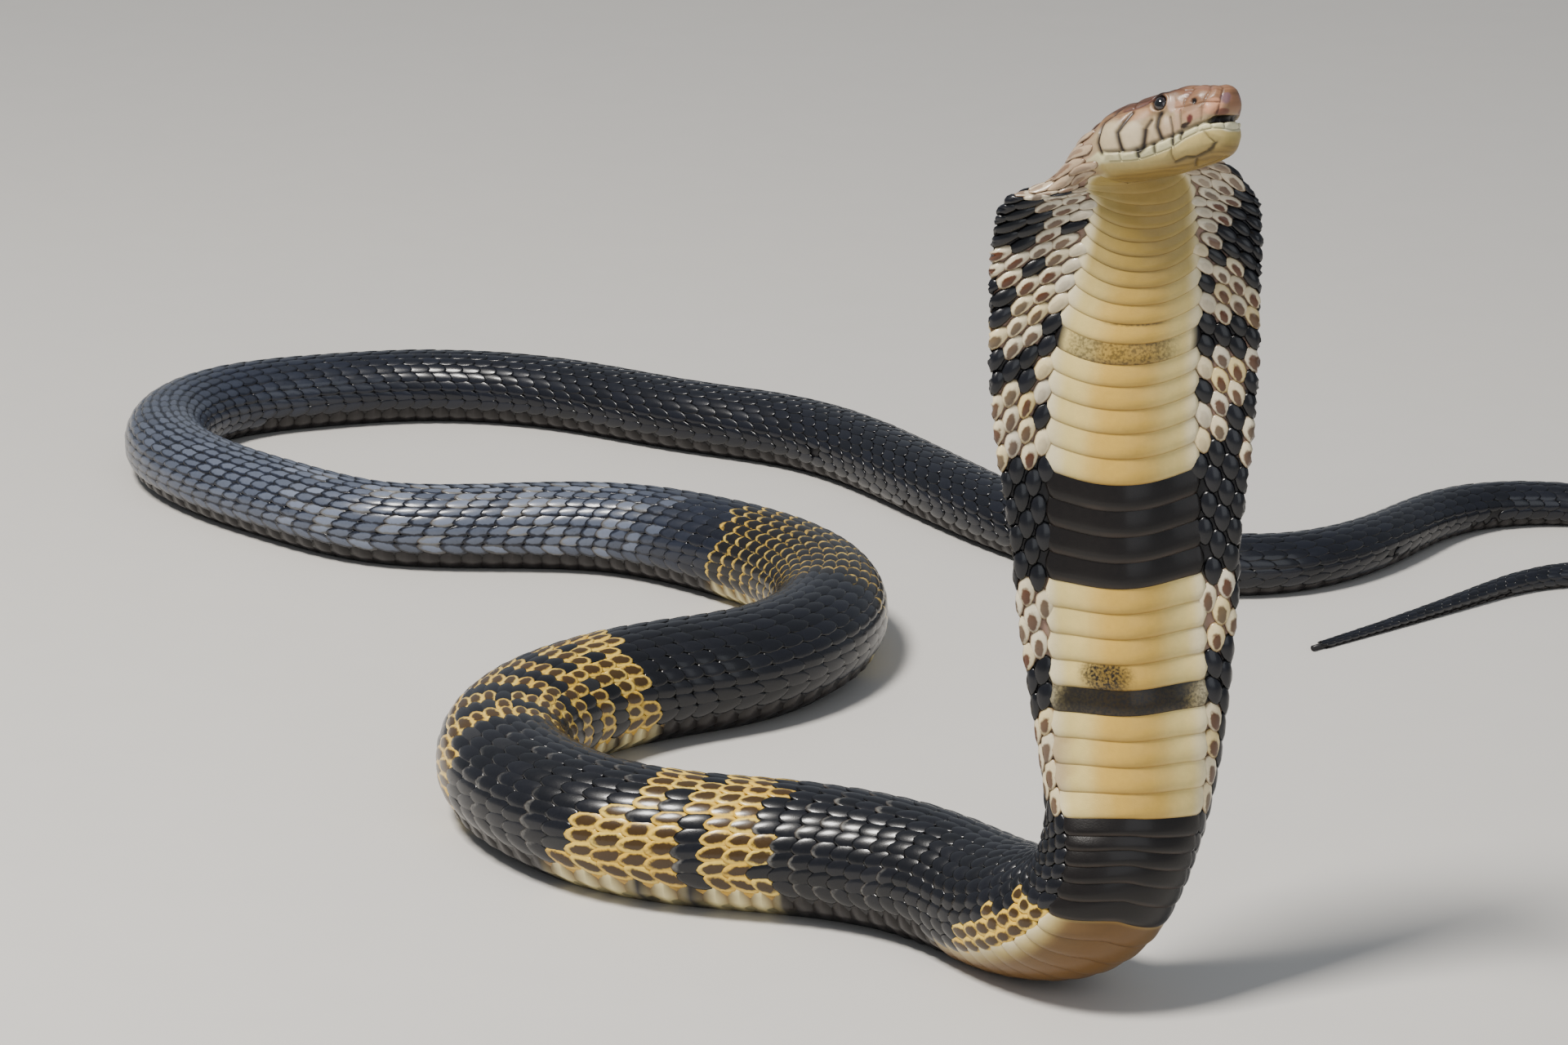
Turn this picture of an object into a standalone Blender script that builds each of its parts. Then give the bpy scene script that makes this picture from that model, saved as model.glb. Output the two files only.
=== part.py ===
"""West African banded cobra, raised and hooded, as a still life-size model.

One centre line runs from the nape, down the raised neck, round the heel where
the belly turns under, and along the ground to the tip of the tail. Rings set
across that line make the lengths of the body, and the head is lofted in a
frame of its own. Lengths are in centimetres, and CM turns them into metres.
"""
import math

import bmesh
import bpy
import numpy as np

CM = 0.01
# Width of the split between two neighbouring lengths
GAP = 0.03

# Middle of the model's box, in the coordinates of the route
ORIGIN = (4.7, -16.67)

# Head: where the front of the mouth is, how it is turned, and how far ahead
# of the nape the front of the mouth and the tip of the snout are
MOUTH_FRONT = (13.1, -47.9, 28.35)
HEAD_YAW = math.radians(53)
HEAD_PITCH = math.radians(21)
HEAD_ROLL = math.radians(12)
HEAD_LENGTH = 4.0
MOUTH_AT = 3.7

# Raised part of the centre line below the nape: x, y, z
COLUMN = (
    (10.3, -45.35, 25.9),
    (10.31, -45.25, 24.6),
    (10.28, -45.35, 22.8),
    (10.4, -46.0, 16.0),
    (10.58, -46.3, 11.5),
    (10.68, -46.6, 8.0),
    (10.5, -46.8, 5.6),
    (9.5, -46.8, 3.2),
    (7.8, -45.2, 2.15),
)

# Ground part of the centre line: x, y
GROUND = (
    (6.1, -42.8), (4.0, -40.8), (0.0, -39.1), (-2.8, -38.45), (-5.5, -37.3),
    (-7.9, -35.0), (-9.4, -31.8), (-9.2, -28.4), (-7.4, -25.4), (-4.5, -23.2),
    (-1.5, -21.6), (0.6, -19.3), (1.6, -16.5), (1.5, -13.4), (0.1, -10.4),
    (-2.5, -7.7), (-6.5, -5.3), (-11.0, -4.8), (-15.5, -4.3), (-19.4, -1.7),
    (-22.8, 1.6), (-24.9, 5.4), (-24.9, 8.9), (-23.1, 11.6), (-20.0, 13.1),
    (-15.0, 14.1), (-9.2, 12.9), (-4.0, 10.0), (0.6, 7.6), (5.3, 2.0),
    (9.7, -4.2), (14.0, -7.6), (18.8, -8.0), (23.2, -4.7), (25.0, -2.4),
    (27.2, -0.6), (30.9, 0.0), (34.3, -1.6), (35.5, -4.4), (33.4, -6.7),
    (28.8, -7.9), (26.0, -9.8), (22.8, -12.4), (19.5, -15.0),
)

# Section along the body: distance from the nape, half width, back, belly
SECTION = (
    (0.0, 1.55, 1.15, 0.80),
    (0.6, 2.25, 0.95, 0.80),
    (1.2, 3.35, 0.85, 0.86),
    (1.8, 3.86, 0.82, 0.92),
    (2.6, 4.0, 0.85, 0.97),
    (3.7, 4.02, 0.90, 1.00),
    (6.0, 4.05, 0.95, 1.02),
    (8.6, 3.90, 1.00, 1.08),
    (11.6, 3.53, 1.10, 1.15),
    (14.4, 3.30, 1.25, 1.25),
    (16.8, 3.06, 1.45, 1.40),
    (19.5, 2.70, 1.70, 1.60),
    (21.6, 2.42, 1.95, 1.80),
    (24.5, 2.27, 2.10, 1.95),
    (30.0, 2.22, 2.10, 2.02),
    (38.0, 2.28, 2.15, 2.10),
    (50.0, 2.25, 2.12, 2.08),
    (64.0, 2.15, 2.02, 2.00),
    (79.0, 1.92, 1.82, 1.80),
    (92.0, 1.62, 1.58, 1.56),
    (104.0, 1.60, 1.55, 1.52),
    (127.0, 1.52, 1.46, 1.44),
    (152.0, 1.42, 1.36, 1.34),
    (170.0, 1.10, 1.06, 1.04),
    (178.0, 0.92, 0.90, 0.88),
    (192.0, 0.55, 0.54, 0.53),
    (206.0, 0.16, 0.16, 0.16),
    (215.0, 0.08, 0.08, 0.08),
)

# How far the ribs spread the hood, from 1 where flat to 0 where round
HOOD = (
    (0.0, 0.1), (1.5, 0.9), (3.0, 1.0), (10.0, 1.0), (14.0, 0.75), (18.5, 0.35),
    (22.0, 0.0),
)
# Half thickness of the hood at its edge, and how far the edge sweeps forward
HOOD_EDGE = 0.34
HOOD_SWEEP = 0.35
# Share of the half width over which the belly swells out of the flat hood
HOOD_SWELL = 0.66
# Powers that round the back of the hood and square the section of the body
HOOD_ROUND = 1.2
BODY_SQUARE = 0.92

# Half width of the belly scutes as a share of the half width of the body
BELLY_SHARE = (
    (0.0, 0.75), (0.8, 0.6), (2.2, 0.40), (3.7, 0.42), (6.0, 0.515), (9.0, 0.57),
    (13.2, 0.69), (16.8, 0.77), (19.5, 0.85), (25.0, 0.86), (170.0, 0.84), (206.0, 0.8),
)
# Length of a belly scute along the body
SCUTE_LENGTH = (
    (0.0, 0.38), (3.0, 0.45), (5.5, 0.60), (8.0, 0.72), (10.4, 0.80), (20.4, 0.80),
    (21.4, 0.46), (24.0, 0.46), (27.0, 0.62), (31.0, 0.78), (171.0, 0.78), (189.0, 0.62),
    (207.0, 0.38),
)
# How far the ends of a scute lie ahead of its middle
SCUTE_RISE = ((0.0, 0.2), (3.0, 0.6), (7.0, 0.45), (12.0, 0.3), (16.0, 0.1), (24.0, 0.0))
# Distances from the nape over which that begins, and places where it fades
RISE_FROM = (0.4, 1.6)
RISE_FADE = (0.3, 0.9)
RISE_POWER = 2.5
# How far the right ends of the scutes lag behind where the heel turns that way
SCUTE_LAG = (
    (0.0, 0.0), (17.0, 0.0), (19.0, 0.1), (20.0, 0.3), (21.0, 0.6), (22.0, 0.8), (23.5, 0.9),
    (25.0, 0.8), (27.0, 0.4), (30.0, 0.0),
)
LAG_POWER = 1.5
# Height of the step from one belly scute down to the next, and the places
# over which it runs out at the scute's end
SCUTE_STEP = 0.06
SCUTE_SIDE = (0.25, 0.36)
# Share of the belly depth that is left where the belly is pressed flat
BELLY_PRESS = 0.9
# Over this distance the section of the head turns into that of the neck
NECK_BLEND = 1.2
# Over this distance the line leaves the head's own direction
JOINT_BLEND = 0.8
# The heel comes down to the level of the ground between these distances
TOUCHDOWN = (29.0, 34.0)
# How far the belly line is pulled to the left of the spread hood
BELLY_SHIFT = (
    (0.0, 0.0), (1.5, 0.45), (3.7, 0.45), (7.0, 0.0), (9.0, -0.08), (22.0, -0.08), (26.0, 0.0),
)
# Place, from the belly line to the back, where the belly scutes end
BELLY_PART = 0.3
# How far before and past a scute's edge its step begins and ends
SCUTE_LIP = (0.03, 0.05)

NODES = (
    ("neck", 0.0, 3.6), ("hood_upper", 3.6, 9.6), ("hood_lower", 9.6, 15.6),
    ("column", 15.6, 21.8), ("heel_upper", 21.8, 26.6), ("heel_lower", 26.6, 32.0),
)
BODY_FROM = 32.0
VENT_AT = 171.0
BODY_LENGTHS = 12
TAIL_LENGTHS = 4

EYE_RADIUS = 0.25
EYE_AT = (2.05, 0.83, 0.98)
# Nostrils and the notch of the tongue are dents: centre, radius and stretch
NOSTRIL_AT = (3.2, 0.82, 0.86)
NOSTRIL_RADIUS = 0.09
NOSTRIL_STRETCH = (1.1, 1.0, 1.3)
TONGUE_NOTCH_AT = (3.84, 0.0, 0.2)
TONGUE_NOTCH_RADIUS = 0.1
TONGUE_NOTCH_STRETCH = (2.2, 2.0, 1.0)

# Steps of the rings: over the belly, the flank and the back
RAISED_SHARES = (6, 3, 5)
GROUND_SHARES = (3, 2, 5)
TAIL_SHARES = (2, 2, 4)
GROUND_STEP = 1.5
TAIL_STEP = 1.2
# Places round the head from chin to crown, closest at the mouth and the eye
HEAD_PLACES = (
    0.0, 0.09, 0.18, 0.27, 0.36, 0.43, 0.475, 0.5, 0.525, 0.56, 0.6, 0.64, 0.68,
    0.72, 0.76, 0.8, 0.85, 0.9, 0.95, 1.0,
)
# Rings of the head, from the nape to where the snout turns, and round the snout
HEAD_FIRST_RING = 0.3
HEAD_RINGS = 11
SNOUT_FIRST_RING = 3.1
SNOUT_RINGS = 7
# Points at which a smooth line is sampled
LINE_SAMPLES = 4001
RING_SAMPLES = 401
SHARP_ANGLE = math.radians(35)
# Points closer than this, in metres, are one
MERGE = 0.00001


def read(table, at, column=1):
    """Value of a table of stations at a distance, eased between its rows."""
    rows = np.array(table, float)
    x = rows[:, 0]
    y = rows[:, column]
    at = np.asarray(at, float)
    slope = np.gradient(y, x)
    k = np.clip(np.searchsorted(x, at, side="right") - 1, 0, len(x) - 2)
    step = x[k + 1] - x[k]
    u = np.clip((at - x[k]) / step, 0.0, 1.0)
    secant = (y[k + 1] - y[k]) / step
    limit = 3.0 * np.abs(secant)
    m0 = np.where(slope[k] * secant > 0, np.clip(slope[k], -limit, limit), 0.0)
    m1 = np.where(slope[k + 1] * secant > 0, np.clip(slope[k + 1], -limit, limit), 0.0)
    h00 = 2 * u**3 - 3 * u**2 + 1
    h10 = u**3 - 2 * u**2 + u
    h01 = -2 * u**3 + 3 * u**2
    h11 = u**3 - u**2
    return h00 * y[k] + h10 * step * m0 + h01 * y[k + 1] + h11 * step * m1


def smooth(low, high, value):
    u = np.clip((value - low) / (high - low), 0.0, 1.0)
    return u * u * (3.0 - 2.0 * u)


def unit(v):
    return v / np.linalg.norm(v, axis=-1, keepdims=True)


def natural_spline(t, y, at):
    """Natural cubic spline through the points y at the distances t."""
    count = len(t)
    h = np.diff(t)
    matrix = np.zeros((count, count))
    right = np.zeros((count, y.shape[1]))
    matrix[0, 0] = 1.0
    matrix[-1, -1] = 1.0
    for i in range(1, count - 1):
        matrix[i, i - 1] = h[i - 1]
        matrix[i, i] = 2.0 * (h[i - 1] + h[i])
        matrix[i, i + 1] = h[i]
        right[i] = 6.0 * ((y[i + 1] - y[i]) / h[i] - (y[i] - y[i - 1]) / h[i - 1])
    bend = np.linalg.solve(matrix, right)
    k = np.clip(np.searchsorted(t, at) - 1, 0, count - 2)
    step = h[k][:, None]
    a = (t[k + 1] - at)[:, None] / step
    b = 1.0 - a
    curve = ((a**3 - a) * bend[k] + (b**3 - b) * bend[k + 1]) * step**2 / 6.0
    return a * y[k] + b * y[k + 1] + curve


def head_axes():
    """Forward, left and up of the head."""
    flat = np.array([math.sin(HEAD_YAW), -math.cos(HEAD_YAW), 0.0])
    rise = np.array([0.0, 0.0, 1.0])
    forward = math.cos(HEAD_PITCH) * flat + math.sin(HEAD_PITCH) * rise
    level = math.cos(HEAD_PITCH) * rise - math.sin(HEAD_PITCH) * flat
    up = math.cos(HEAD_ROLL) * level + math.sin(HEAD_ROLL) * np.cross(level, forward)
    left = np.cross(up, forward)
    return forward, left, up


FORWARD, LEFT, UP = head_axes()
NAPE = np.array(MOUTH_FRONT) - MOUTH_AT * FORWARD
# The centre line goes on into the head through these distances ahead of the nape
LINE_IN_HEAD = (3.0, 1.5, 0.35)
# Which way the back faces: distance from the nape, x, y, z
BACK_FACES = (
    (0.0, *UP), (0.3, *UP), (1.3, -0.15, 1.0, 0.15), (3.0, 0.0, 1.0, 0.0),
    (19.0, 0.0, 1.0, 0.0), (24.0, -0.25, 0.95, 0.35), (28.0, -0.5, 0.85, 1.0),
    (33.0, 0.0, 0.0, 1.0), (300.0, 0.0, 0.0, 1.0),
)

# How far the spread shoulders are brought level, against the tilt of the line
SHOULDER_LEVEL = ((0.0, 0.0), (0.7, 0.0), (1.5, 1.0), (6.0, 1.0), (12.0, 0.0))


def centre_line():
    """Dense centre line: distance, point, tangent, dorsal and left side."""
    inner = [NAPE + ahead * FORWARD for ahead in LINE_IN_HEAD]
    ground = [(x, y, 0.0) for x, y in GROUND]
    knots = np.array([*inner, NAPE, *COLUMN, *ground])
    first = len(inner) + 1 + len(COLUMN)
    for _ in range(3):
        t = np.r_[0.0, np.cumsum(np.linalg.norm(np.diff(knots, axis=0), axis=1))]
        from_nape = t - t[len(inner)]
        knots[first:, 2] = read(SECTION, from_nape[first:], 3) * BELLY_PRESS
    fine = np.linspace(t[len(inner)], t[-1], LINE_SAMPLES)
    points = natural_spline(t, knots, fine)
    reach = np.r_[0.0, np.cumsum(np.linalg.norm(np.diff(points, axis=0), axis=1))]
    ground_level = read(SECTION, reach, 3) * BELLY_PRESS
    on_ground = smooth(*TOUCHDOWN, reach)
    points[:, 2] = points[:, 2] * (1.0 - on_ground) + ground_level * on_ground
    tangent = unit(np.gradient(points, axis=0))
    joint = smooth(0.0, JOINT_BLEND, reach)[:, None]
    tangent = unit(joint * tangent - (1.0 - joint) * FORWARD)
    rows = np.array(BACK_FACES)
    hint = np.stack([np.interp(reach, rows[:, 0], rows[:, k]) for k in (1, 2, 3)], 1)
    dorsal = unit(hint - np.sum(hint * tangent, 1)[:, None] * tangent)
    left = np.cross(tangent, dorsal)
    left[:, 2] *= 1.0 - read(SHOULDER_LEVEL, reach)
    return reach, points, tangent, dorsal, unit(left)


REACH, POINTS, TANGENT, DORSAL, SIDE = centre_line()
LENGTH = float(REACH[-1])


def frame_at(reach):
    """Centre, left and dorsal directions at distances from the nape."""
    parts = []
    for rows in (POINTS, SIDE, DORSAL, TANGENT):
        parts.append(np.stack([np.interp(reach, REACH, rows[:, k]) for k in range(3)], -1))
    centre, side, dorsal, tangent = parts
    return centre, unit(side), unit(dorsal), unit(tangent)


def section_curve(reach, angle):
    """Side and dorsal offsets of the section at angles from the belly line."""
    half = read(SECTION, reach, 1)
    back = read(SECTION, reach, 2)
    belly = read(SECTION, reach, 3)
    spread = read(HOOD, reach)
    sine = np.sin(angle)
    cosine = np.cos(angle)
    share = np.abs(sine)
    below = cosine > 0
    rounded = np.where(below, -belly, back) * np.abs(cosine) ** BODY_SQUARE
    swell = 0.5 + 0.5 * np.cos(np.pi * np.clip(share / HOOD_SWELL, 0.0, 1.0))
    swell_below = (belly - HOOD_EDGE) * swell
    swell_above = (back - HOOD_EDGE) * (1.0 - share**2) ** HOOD_ROUND
    flat = np.where(
        below,
        -HOOD_EDGE * np.abs(cosine) - swell_below,
        HOOD_EDGE * np.abs(cosine) + swell_above,
    )
    flat = flat - HOOD_SWEEP * share**3
    turned = read(BELLY_SHIFT, reach) * np.maximum(cosine, 0.0)
    return half * sine, turned, (1.0 - spread) * rounded + spread * flat


def section_angles(reach, places):
    """Angles of the section for places from 0 at the belly line to 1 at the back.

    The belly scutes take the places up to BELLY_PART, and the flank and back
    take the rest, both by length along the skin.
    """
    angle = np.linspace(0.0, np.pi, RING_SAMPLES)
    x, _, y = section_curve(reach, angle)
    run = np.r_[0.0, np.cumsum(np.hypot(np.diff(x), np.diff(y)))]
    edge = np.arcsin(np.clip(read(BELLY_SHARE, reach), 0.0, 0.999))
    edge_run = np.interp(edge, angle, run)
    wanted = np.where(
        places < BELLY_PART,
        places / BELLY_PART * edge_run,
        edge_run + (places - BELLY_PART) / (1.0 - BELLY_PART) * (run[-1] - edge_run),
    )
    return np.interp(wanted, run, angle)


# Along the head: half width, crown above the lip line and jaw below it
HEAD_WIDTH = (
    (-2.0, 1.5), (0.0, 1.55), (0.4, 1.58), (1.1, 1.5), (1.9, 1.26), (2.5, 1.08),
    (2.9, 0.97), (4.0, 0.9),
)
HEAD_CROWN = (
    (-2.0, 1.0), (0.0, 1.18), (0.5, 1.27), (2.0, 1.37), (2.6, 1.41), (3.1, 1.33),
    (3.6, 1.24), (4.0, 1.17),
)
HEAD_JAW = (
    (-2.0, 0.7), (0.0, 0.82), (1.0, 0.94), (2.5, 0.95), (3.2, 0.88), (4.0, 0.76),
)
LIP_LINE = (
    (-2.0, 0.0), (0.0, -0.02), (0.7, -0.16), (1.25, -0.24), (1.7, -0.18), (2.1, -0.10),
    (2.8, 0.03), (3.2, 0.12), (3.5, 0.17), (4.0, 0.20),
)
# Profile of the snout's front: place from chin to crown, how far ahead it is
SNOUT_FROM = 2.9
SNOUT_FRONT = (
    (0.0, 3.5), (0.3, 3.79), (0.46, 3.86), (0.5, 3.76), (0.54, 3.92), (0.7, 4.07),
    (0.85, 4.02), (1.0, 3.75),
)
# Powers that blunt the snout's front and square its plan
SNOUT_BLUNT = 0.85
SNOUT_SQUARE = 0.75
# Powers of the section above the lip line, at the nape and ahead, and below it
CROWN_FLAT = (0.86, 0.60)
CROWN_FLAT_OVER = (-0.4, 1.2)
CROWN_HEIGHT_POWER = 0.86
JAW_WIDTH_POWER = 0.85
JAW_HEIGHT_POWER = 0.9
JAW_TUCK = 0.10
# Swellings and hollows of the brow, the orbit and the cheek: how far ahead,
# its spread, place round the section, its spread, how far out, how far up
SWELLINGS = (
    (2.15, 0.38, 0.83, 0.05, 0.06, 0.09),
    (2.3, 0.36, 0.64, 0.07, -0.05, 0.0),
    (0.5, 0.8, 0.62, 0.14, 0.07, 0.0),
)
# Depth of the line of the mouth on the sides and at the front, and where it starts
MOUTH_LINE = 0.09
MOUTH_LINE_FRONT = 0.05
MOUTH_LINE_FROM = (0.05, 0.4)
MOUTH_SIDES = 0.3
TINY = 1e-4


def head_point(run, place):
    """Point of the head in its own frame, place 0 at the chin to 1 at the crown.

    Up to SNOUT_FROM the run is the distance from the nape. Past it the run
    turns round the snout and ends in the middle of its front.
    """
    turn = np.clip((run - SNOUT_FROM) / (HEAD_LENGTH - SNOUT_FROM), 0.0, 1.0) * np.pi / 2
    front = read(SNOUT_FRONT, place)
    rounded = SNOUT_FROM + (front - SNOUT_FROM) * np.sin(turn) ** SNOUT_BLUNT
    ahead = np.where(run < SNOUT_FROM, run, rounded)
    narrow = np.cos(turn) ** SNOUT_SQUARE
    wide = read(HEAD_WIDTH, ahead)
    crown = read(HEAD_CROWN, ahead)
    jaw = read(HEAD_JAW, ahead)
    lip = read(LIP_LINE, ahead)
    sine = np.abs(np.sin(np.pi * place))
    cosine = np.abs(np.cos(np.pi * place))
    upper = place > 0.5
    flat = CROWN_FLAT[0] + (CROWN_FLAT[1] - CROWN_FLAT[0]) * smooth(*CROWN_FLAT_OVER, ahead)
    jaw_side = sine**JAW_WIDTH_POWER * (1.0 - JAW_TUCK * cosine)
    side = wide * np.where(upper, sine**flat, jaw_side) * narrow
    above = lip + (crown - lip) * cosine**CROWN_HEIGHT_POWER
    below = lip - (jaw + lip) * cosine**JAW_HEIGHT_POWER
    height = np.where(upper, above, below)
    for along, along_spread, around, around_spread, out, up in SWELLINGS:
        swell = np.exp(-((ahead - along) / along_spread) ** 2 - ((place - around) / around_spread) ** 2)
        side = side + out * swell
        height = height + up * swell
    on_line = np.where(np.abs(place - 0.5) < TINY, smooth(*MOUTH_LINE_FROM, ahead), 0.0)
    depth = np.where(narrow > MOUTH_SIDES, MOUTH_LINE, MOUTH_LINE_FRONT) * (narrow > TINY)
    side = side - depth * on_line
    return ahead, np.maximum(side, 0.0) * (narrow > TINY), height


def in_head(ahead, left, up):
    """World point, in centimetres, of a point in the head's frame."""
    return NAPE + np.outer(ahead, FORWARD) + np.outer(left, LEFT) + np.outer(up, UP)


def ring_places(reach, shares):
    """Places round one side of a ring, from the belly line to the back.

    The shares count the steps over the belly scutes, on to the widest point
    and over the back, so that a point always stands on the hood's edge.
    """
    belly, flank, back = shares
    even = np.linspace(0.0, 1.0, RING_SAMPLES)
    widest = np.interp(np.pi / 2, section_angles(reach, even), even)
    return np.r_[
        np.linspace(0.0, BELLY_PART, belly, endpoint=False),
        np.linspace(BELLY_PART, widest, flank, endpoint=False),
        np.linspace(widest, 1.0, back + 1),
    ]


def side_reach(reach, places, sine, sign):
    """Distance from the nape of each point of a ring, as scutes rise and lag."""
    toward_end = np.clip(places / BELLY_PART, 0.0, 1.0) ** RISE_POWER
    fade = 1.0 - smooth(*RISE_FADE, places)
    rise = read(SCUTE_RISE, reach) * smooth(*RISE_FROM, reach)
    lag = read(SCUTE_LAG, reach) * np.abs(sine) ** LAG_POWER if sign < 0 else 0.0
    return np.clip(reach - rise * toward_end * fade + lag, 0.0, LENGTH)


def body_ring(reach, places, lift):
    """Closed ring of skin points: up the left side, then down the right."""
    angles = section_angles(reach, places)
    down = lift * (1.0 - smooth(*SCUTE_SIDE, places))
    points = []
    for sign in (1.0, -1.0):
        along = side_reach(reach, places, np.sin(angles), sign)
        side, turned, height = section_curve(along, angles)
        if reach < NECK_BLEND:
            _, head_side, head_height = head_point(np.full(len(places), -reach), places)
            blend = smooth(0.0, NECK_BLEND, reach)
            side = (1.0 - blend) * head_side + blend * side
            turned = blend * turned
            height = (1.0 - blend) * head_height + blend * height
        height = height - down
        centre, left, dorsal, _ = frame_at(along)
        across = sign * side + turned
        half = centre + across[:, None] * left + height[:, None] * dorsal
        points.append(half if sign > 0 else half[::-1][1:-1])
    ring = np.vstack(points)
    ring[:, 2] = np.maximum(ring[:, 2], 0.0)
    return ring


def cap(data, row, reverse):
    """Close a ring by rungs between its belly and its back."""
    count = len(row)
    half = count // 2
    reach = half // 2
    for k in range(reach, -reach, -1):
        turns = (k, k - 1, half - k + 1, half - k)
        corners = [row[turn % count] for turn in turns]
        for picked in ((0, 1, 2), (0, 2, 3)):
            face = [corners[n] for n in picked]
            if len(set(face)) == 3:
                data.faces.new(face[::-1] if reverse else face)


def loft(name, rings, cap_first, cap_last):
    """Closed mesh through the rings, in world coordinates."""
    data = bmesh.new()
    rows = [[data.verts.new(tuple(point * CM)) for point in ring] for ring in rings]
    count = len(rings[0])
    for lower, upper in zip(rows, rows[1:]):
        for k in range(count):
            other = (k + 1) % count
            data.faces.new((lower[k], lower[other], upper[other], upper[k]))
    if cap_first:
        cap(data, rows[0], False)
    if cap_last:
        cap(data, rows[-1], True)
    bmesh.ops.remove_doubles(data, verts=data.verts, dist=MERGE)
    bmesh.ops.dissolve_degenerate(data, edges=data.edges, dist=MERGE / 2)
    if data.calc_volume(signed=True) < 0.0:
        bmesh.ops.reverse_faces(data, faces=data.faces)
    mesh = bpy.data.meshes.new(name)
    data.to_mesh(mesh)
    data.free()
    mesh.shade_smooth()
    mesh.set_sharp_from_angle(angle=SHARP_ANGLE)
    return bpy.data.objects.new(name, mesh)


def centred(points):
    return points - np.array([ORIGIN[0], ORIGIN[1], 0.0])


def scute_edges(start, end):
    """Distances from the nape where belly scutes meet, inside a stretch."""
    fine = np.linspace(0.0, LENGTH, LINE_SAMPLES)
    pitch = read(SCUTE_LENGTH, fine)
    number = np.r_[0.0, np.cumsum(np.diff(fine) / (0.5 * (pitch[1:] + pitch[:-1])))]
    whole = np.arange(1, int(number[-1]))
    edges = np.interp(whole, number, fine)
    clear = 4.0 * GAP
    return edges[(edges > start + clear) & (edges < end - clear)]


def raised_length(name, start, end):
    """Length of the neck or heel whose belly scutes are stepped plates."""
    stops = [(start + GAP / 2, 0.5 * SCUTE_STEP)]
    for edge in scute_edges(start, end):
        stops.append((edge - SCUTE_LIP[0], SCUTE_STEP))
        stops.append((edge + SCUTE_LIP[1], 0.0))
    stops.append((end - GAP / 2, 0.5 * SCUTE_STEP))
    rings = []
    for reach, lift in stops:
        places = ring_places(reach, RAISED_SHARES)
        rings.append(centred(body_ring(reach, places, lift)))
    return loft(name, rings, True, True)


def ground_length(name, start, end, step, shares):
    """Length of the body or tail that lies on the ground."""
    steps = max(2, int(round((end - start) / step)))
    stops = np.linspace(start + GAP / 2, end - GAP / 2, steps + 1)
    rings = [centred(body_ring(reach, ring_places(reach, shares), 0.0)) for reach in stops]
    return loft(name, rings, True, True)


def ball(name, centre, radius, scale=(1.0, 1.0, 1.0), segments=16, rings=10):
    """Ball or ellipsoid in the head's frame."""
    data = bmesh.new()
    bmesh.ops.create_uvsphere(data, u_segments=segments, v_segments=rings, radius=radius)
    for vertex in data.verts:
        local = np.array(vertex.co) * np.array(scale)
        world = centred(in_head(*[np.array([centre[k] + local[k]]) for k in range(3)]))[0]
        vertex.co = tuple(world * CM)
    bmesh.ops.recalc_face_normals(data, faces=data.faces)
    mesh = bpy.data.meshes.new(name)
    data.to_mesh(mesh)
    data.free()
    mesh.shade_smooth()
    return bpy.data.objects.new(name, mesh)


def head_rings():
    """Rings of the head from the nape to the middle of the snout's front."""
    places = np.array(HEAD_PLACES)
    before = np.linspace(HEAD_FIRST_RING, SNOUT_FROM, HEAD_RINGS)
    round_snout = np.linspace(SNOUT_FIRST_RING, HEAD_LENGTH, SNOUT_RINGS)
    runs = np.r_[GAP / 2, before, round_snout]
    rings = []
    for run in runs:
        ahead, side, height = head_point(np.full(len(places), run), places)
        left = in_head(ahead, side, height)
        right = in_head(ahead, -side, height)[::-1][1:-1]
        rings.append(centred(np.vstack([left, right])))
    return rings


def build_head(group, cutters):
    head = loft("head", head_rings(), True, False)
    holes = []
    for sign, word in ((1, "left"), (-1, "right")):
        eye_centre = (EYE_AT[0], sign * EYE_AT[1], EYE_AT[2])
        group.objects.link(paint(ball("eye_" + word, eye_centre, EYE_RADIUS), "eye"))
        holes.append(ball("socket_" + word, eye_centre, EYE_RADIUS + GAP))
        nostril = (NOSTRIL_AT[0], sign * NOSTRIL_AT[1], NOSTRIL_AT[2])
        holes.append(ball("nostril_" + word, nostril, NOSTRIL_RADIUS, NOSTRIL_STRETCH, 8, 6))
    holes.append(ball(
        "tongue_notch", TONGUE_NOTCH_AT, TONGUE_NOTCH_RADIUS, TONGUE_NOTCH_STRETCH, 10, 6))
    for hole in holes:
        cutters.objects.link(hole)
        hole.hide_render = True
        hole.display_type = "WIRE"
        cut = head.modifiers.new(hole.name, "BOOLEAN")
        cut.operation = "DIFFERENCE"
        cut.solver = "EXACT"
        cut.object = hole
    group.objects.link(paint(head, "skin_head"))


# Base colour and roughness of each material
COLOURS = {
    "skin_head": (0.30, 0.19, 0.13, 1.0, 0.45),
    "skin_pale": (0.72, 0.58, 0.27, 1.0, 0.45),
    "skin_dark": (0.02, 0.02, 0.028, 1.0, 0.35),
    "eye": (0.01, 0.012, 0.02, 1.0, 0.08),
}


def paint(thing, name):
    """Give an object its material."""
    material = bpy.data.materials.get(name) or bpy.data.materials.new(name)
    material.use_nodes = True
    red, green, blue, alpha, roughness = COLOURS[name]
    shader = material.node_tree.nodes["Principled BSDF"]
    shader.inputs["Base Color"].default_value = (red, green, blue, alpha)
    shader.inputs["Roughness"].default_value = roughness
    shader.inputs["Metallic"].default_value = 0.0
    thing.data.materials.append(material)
    return thing


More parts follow.
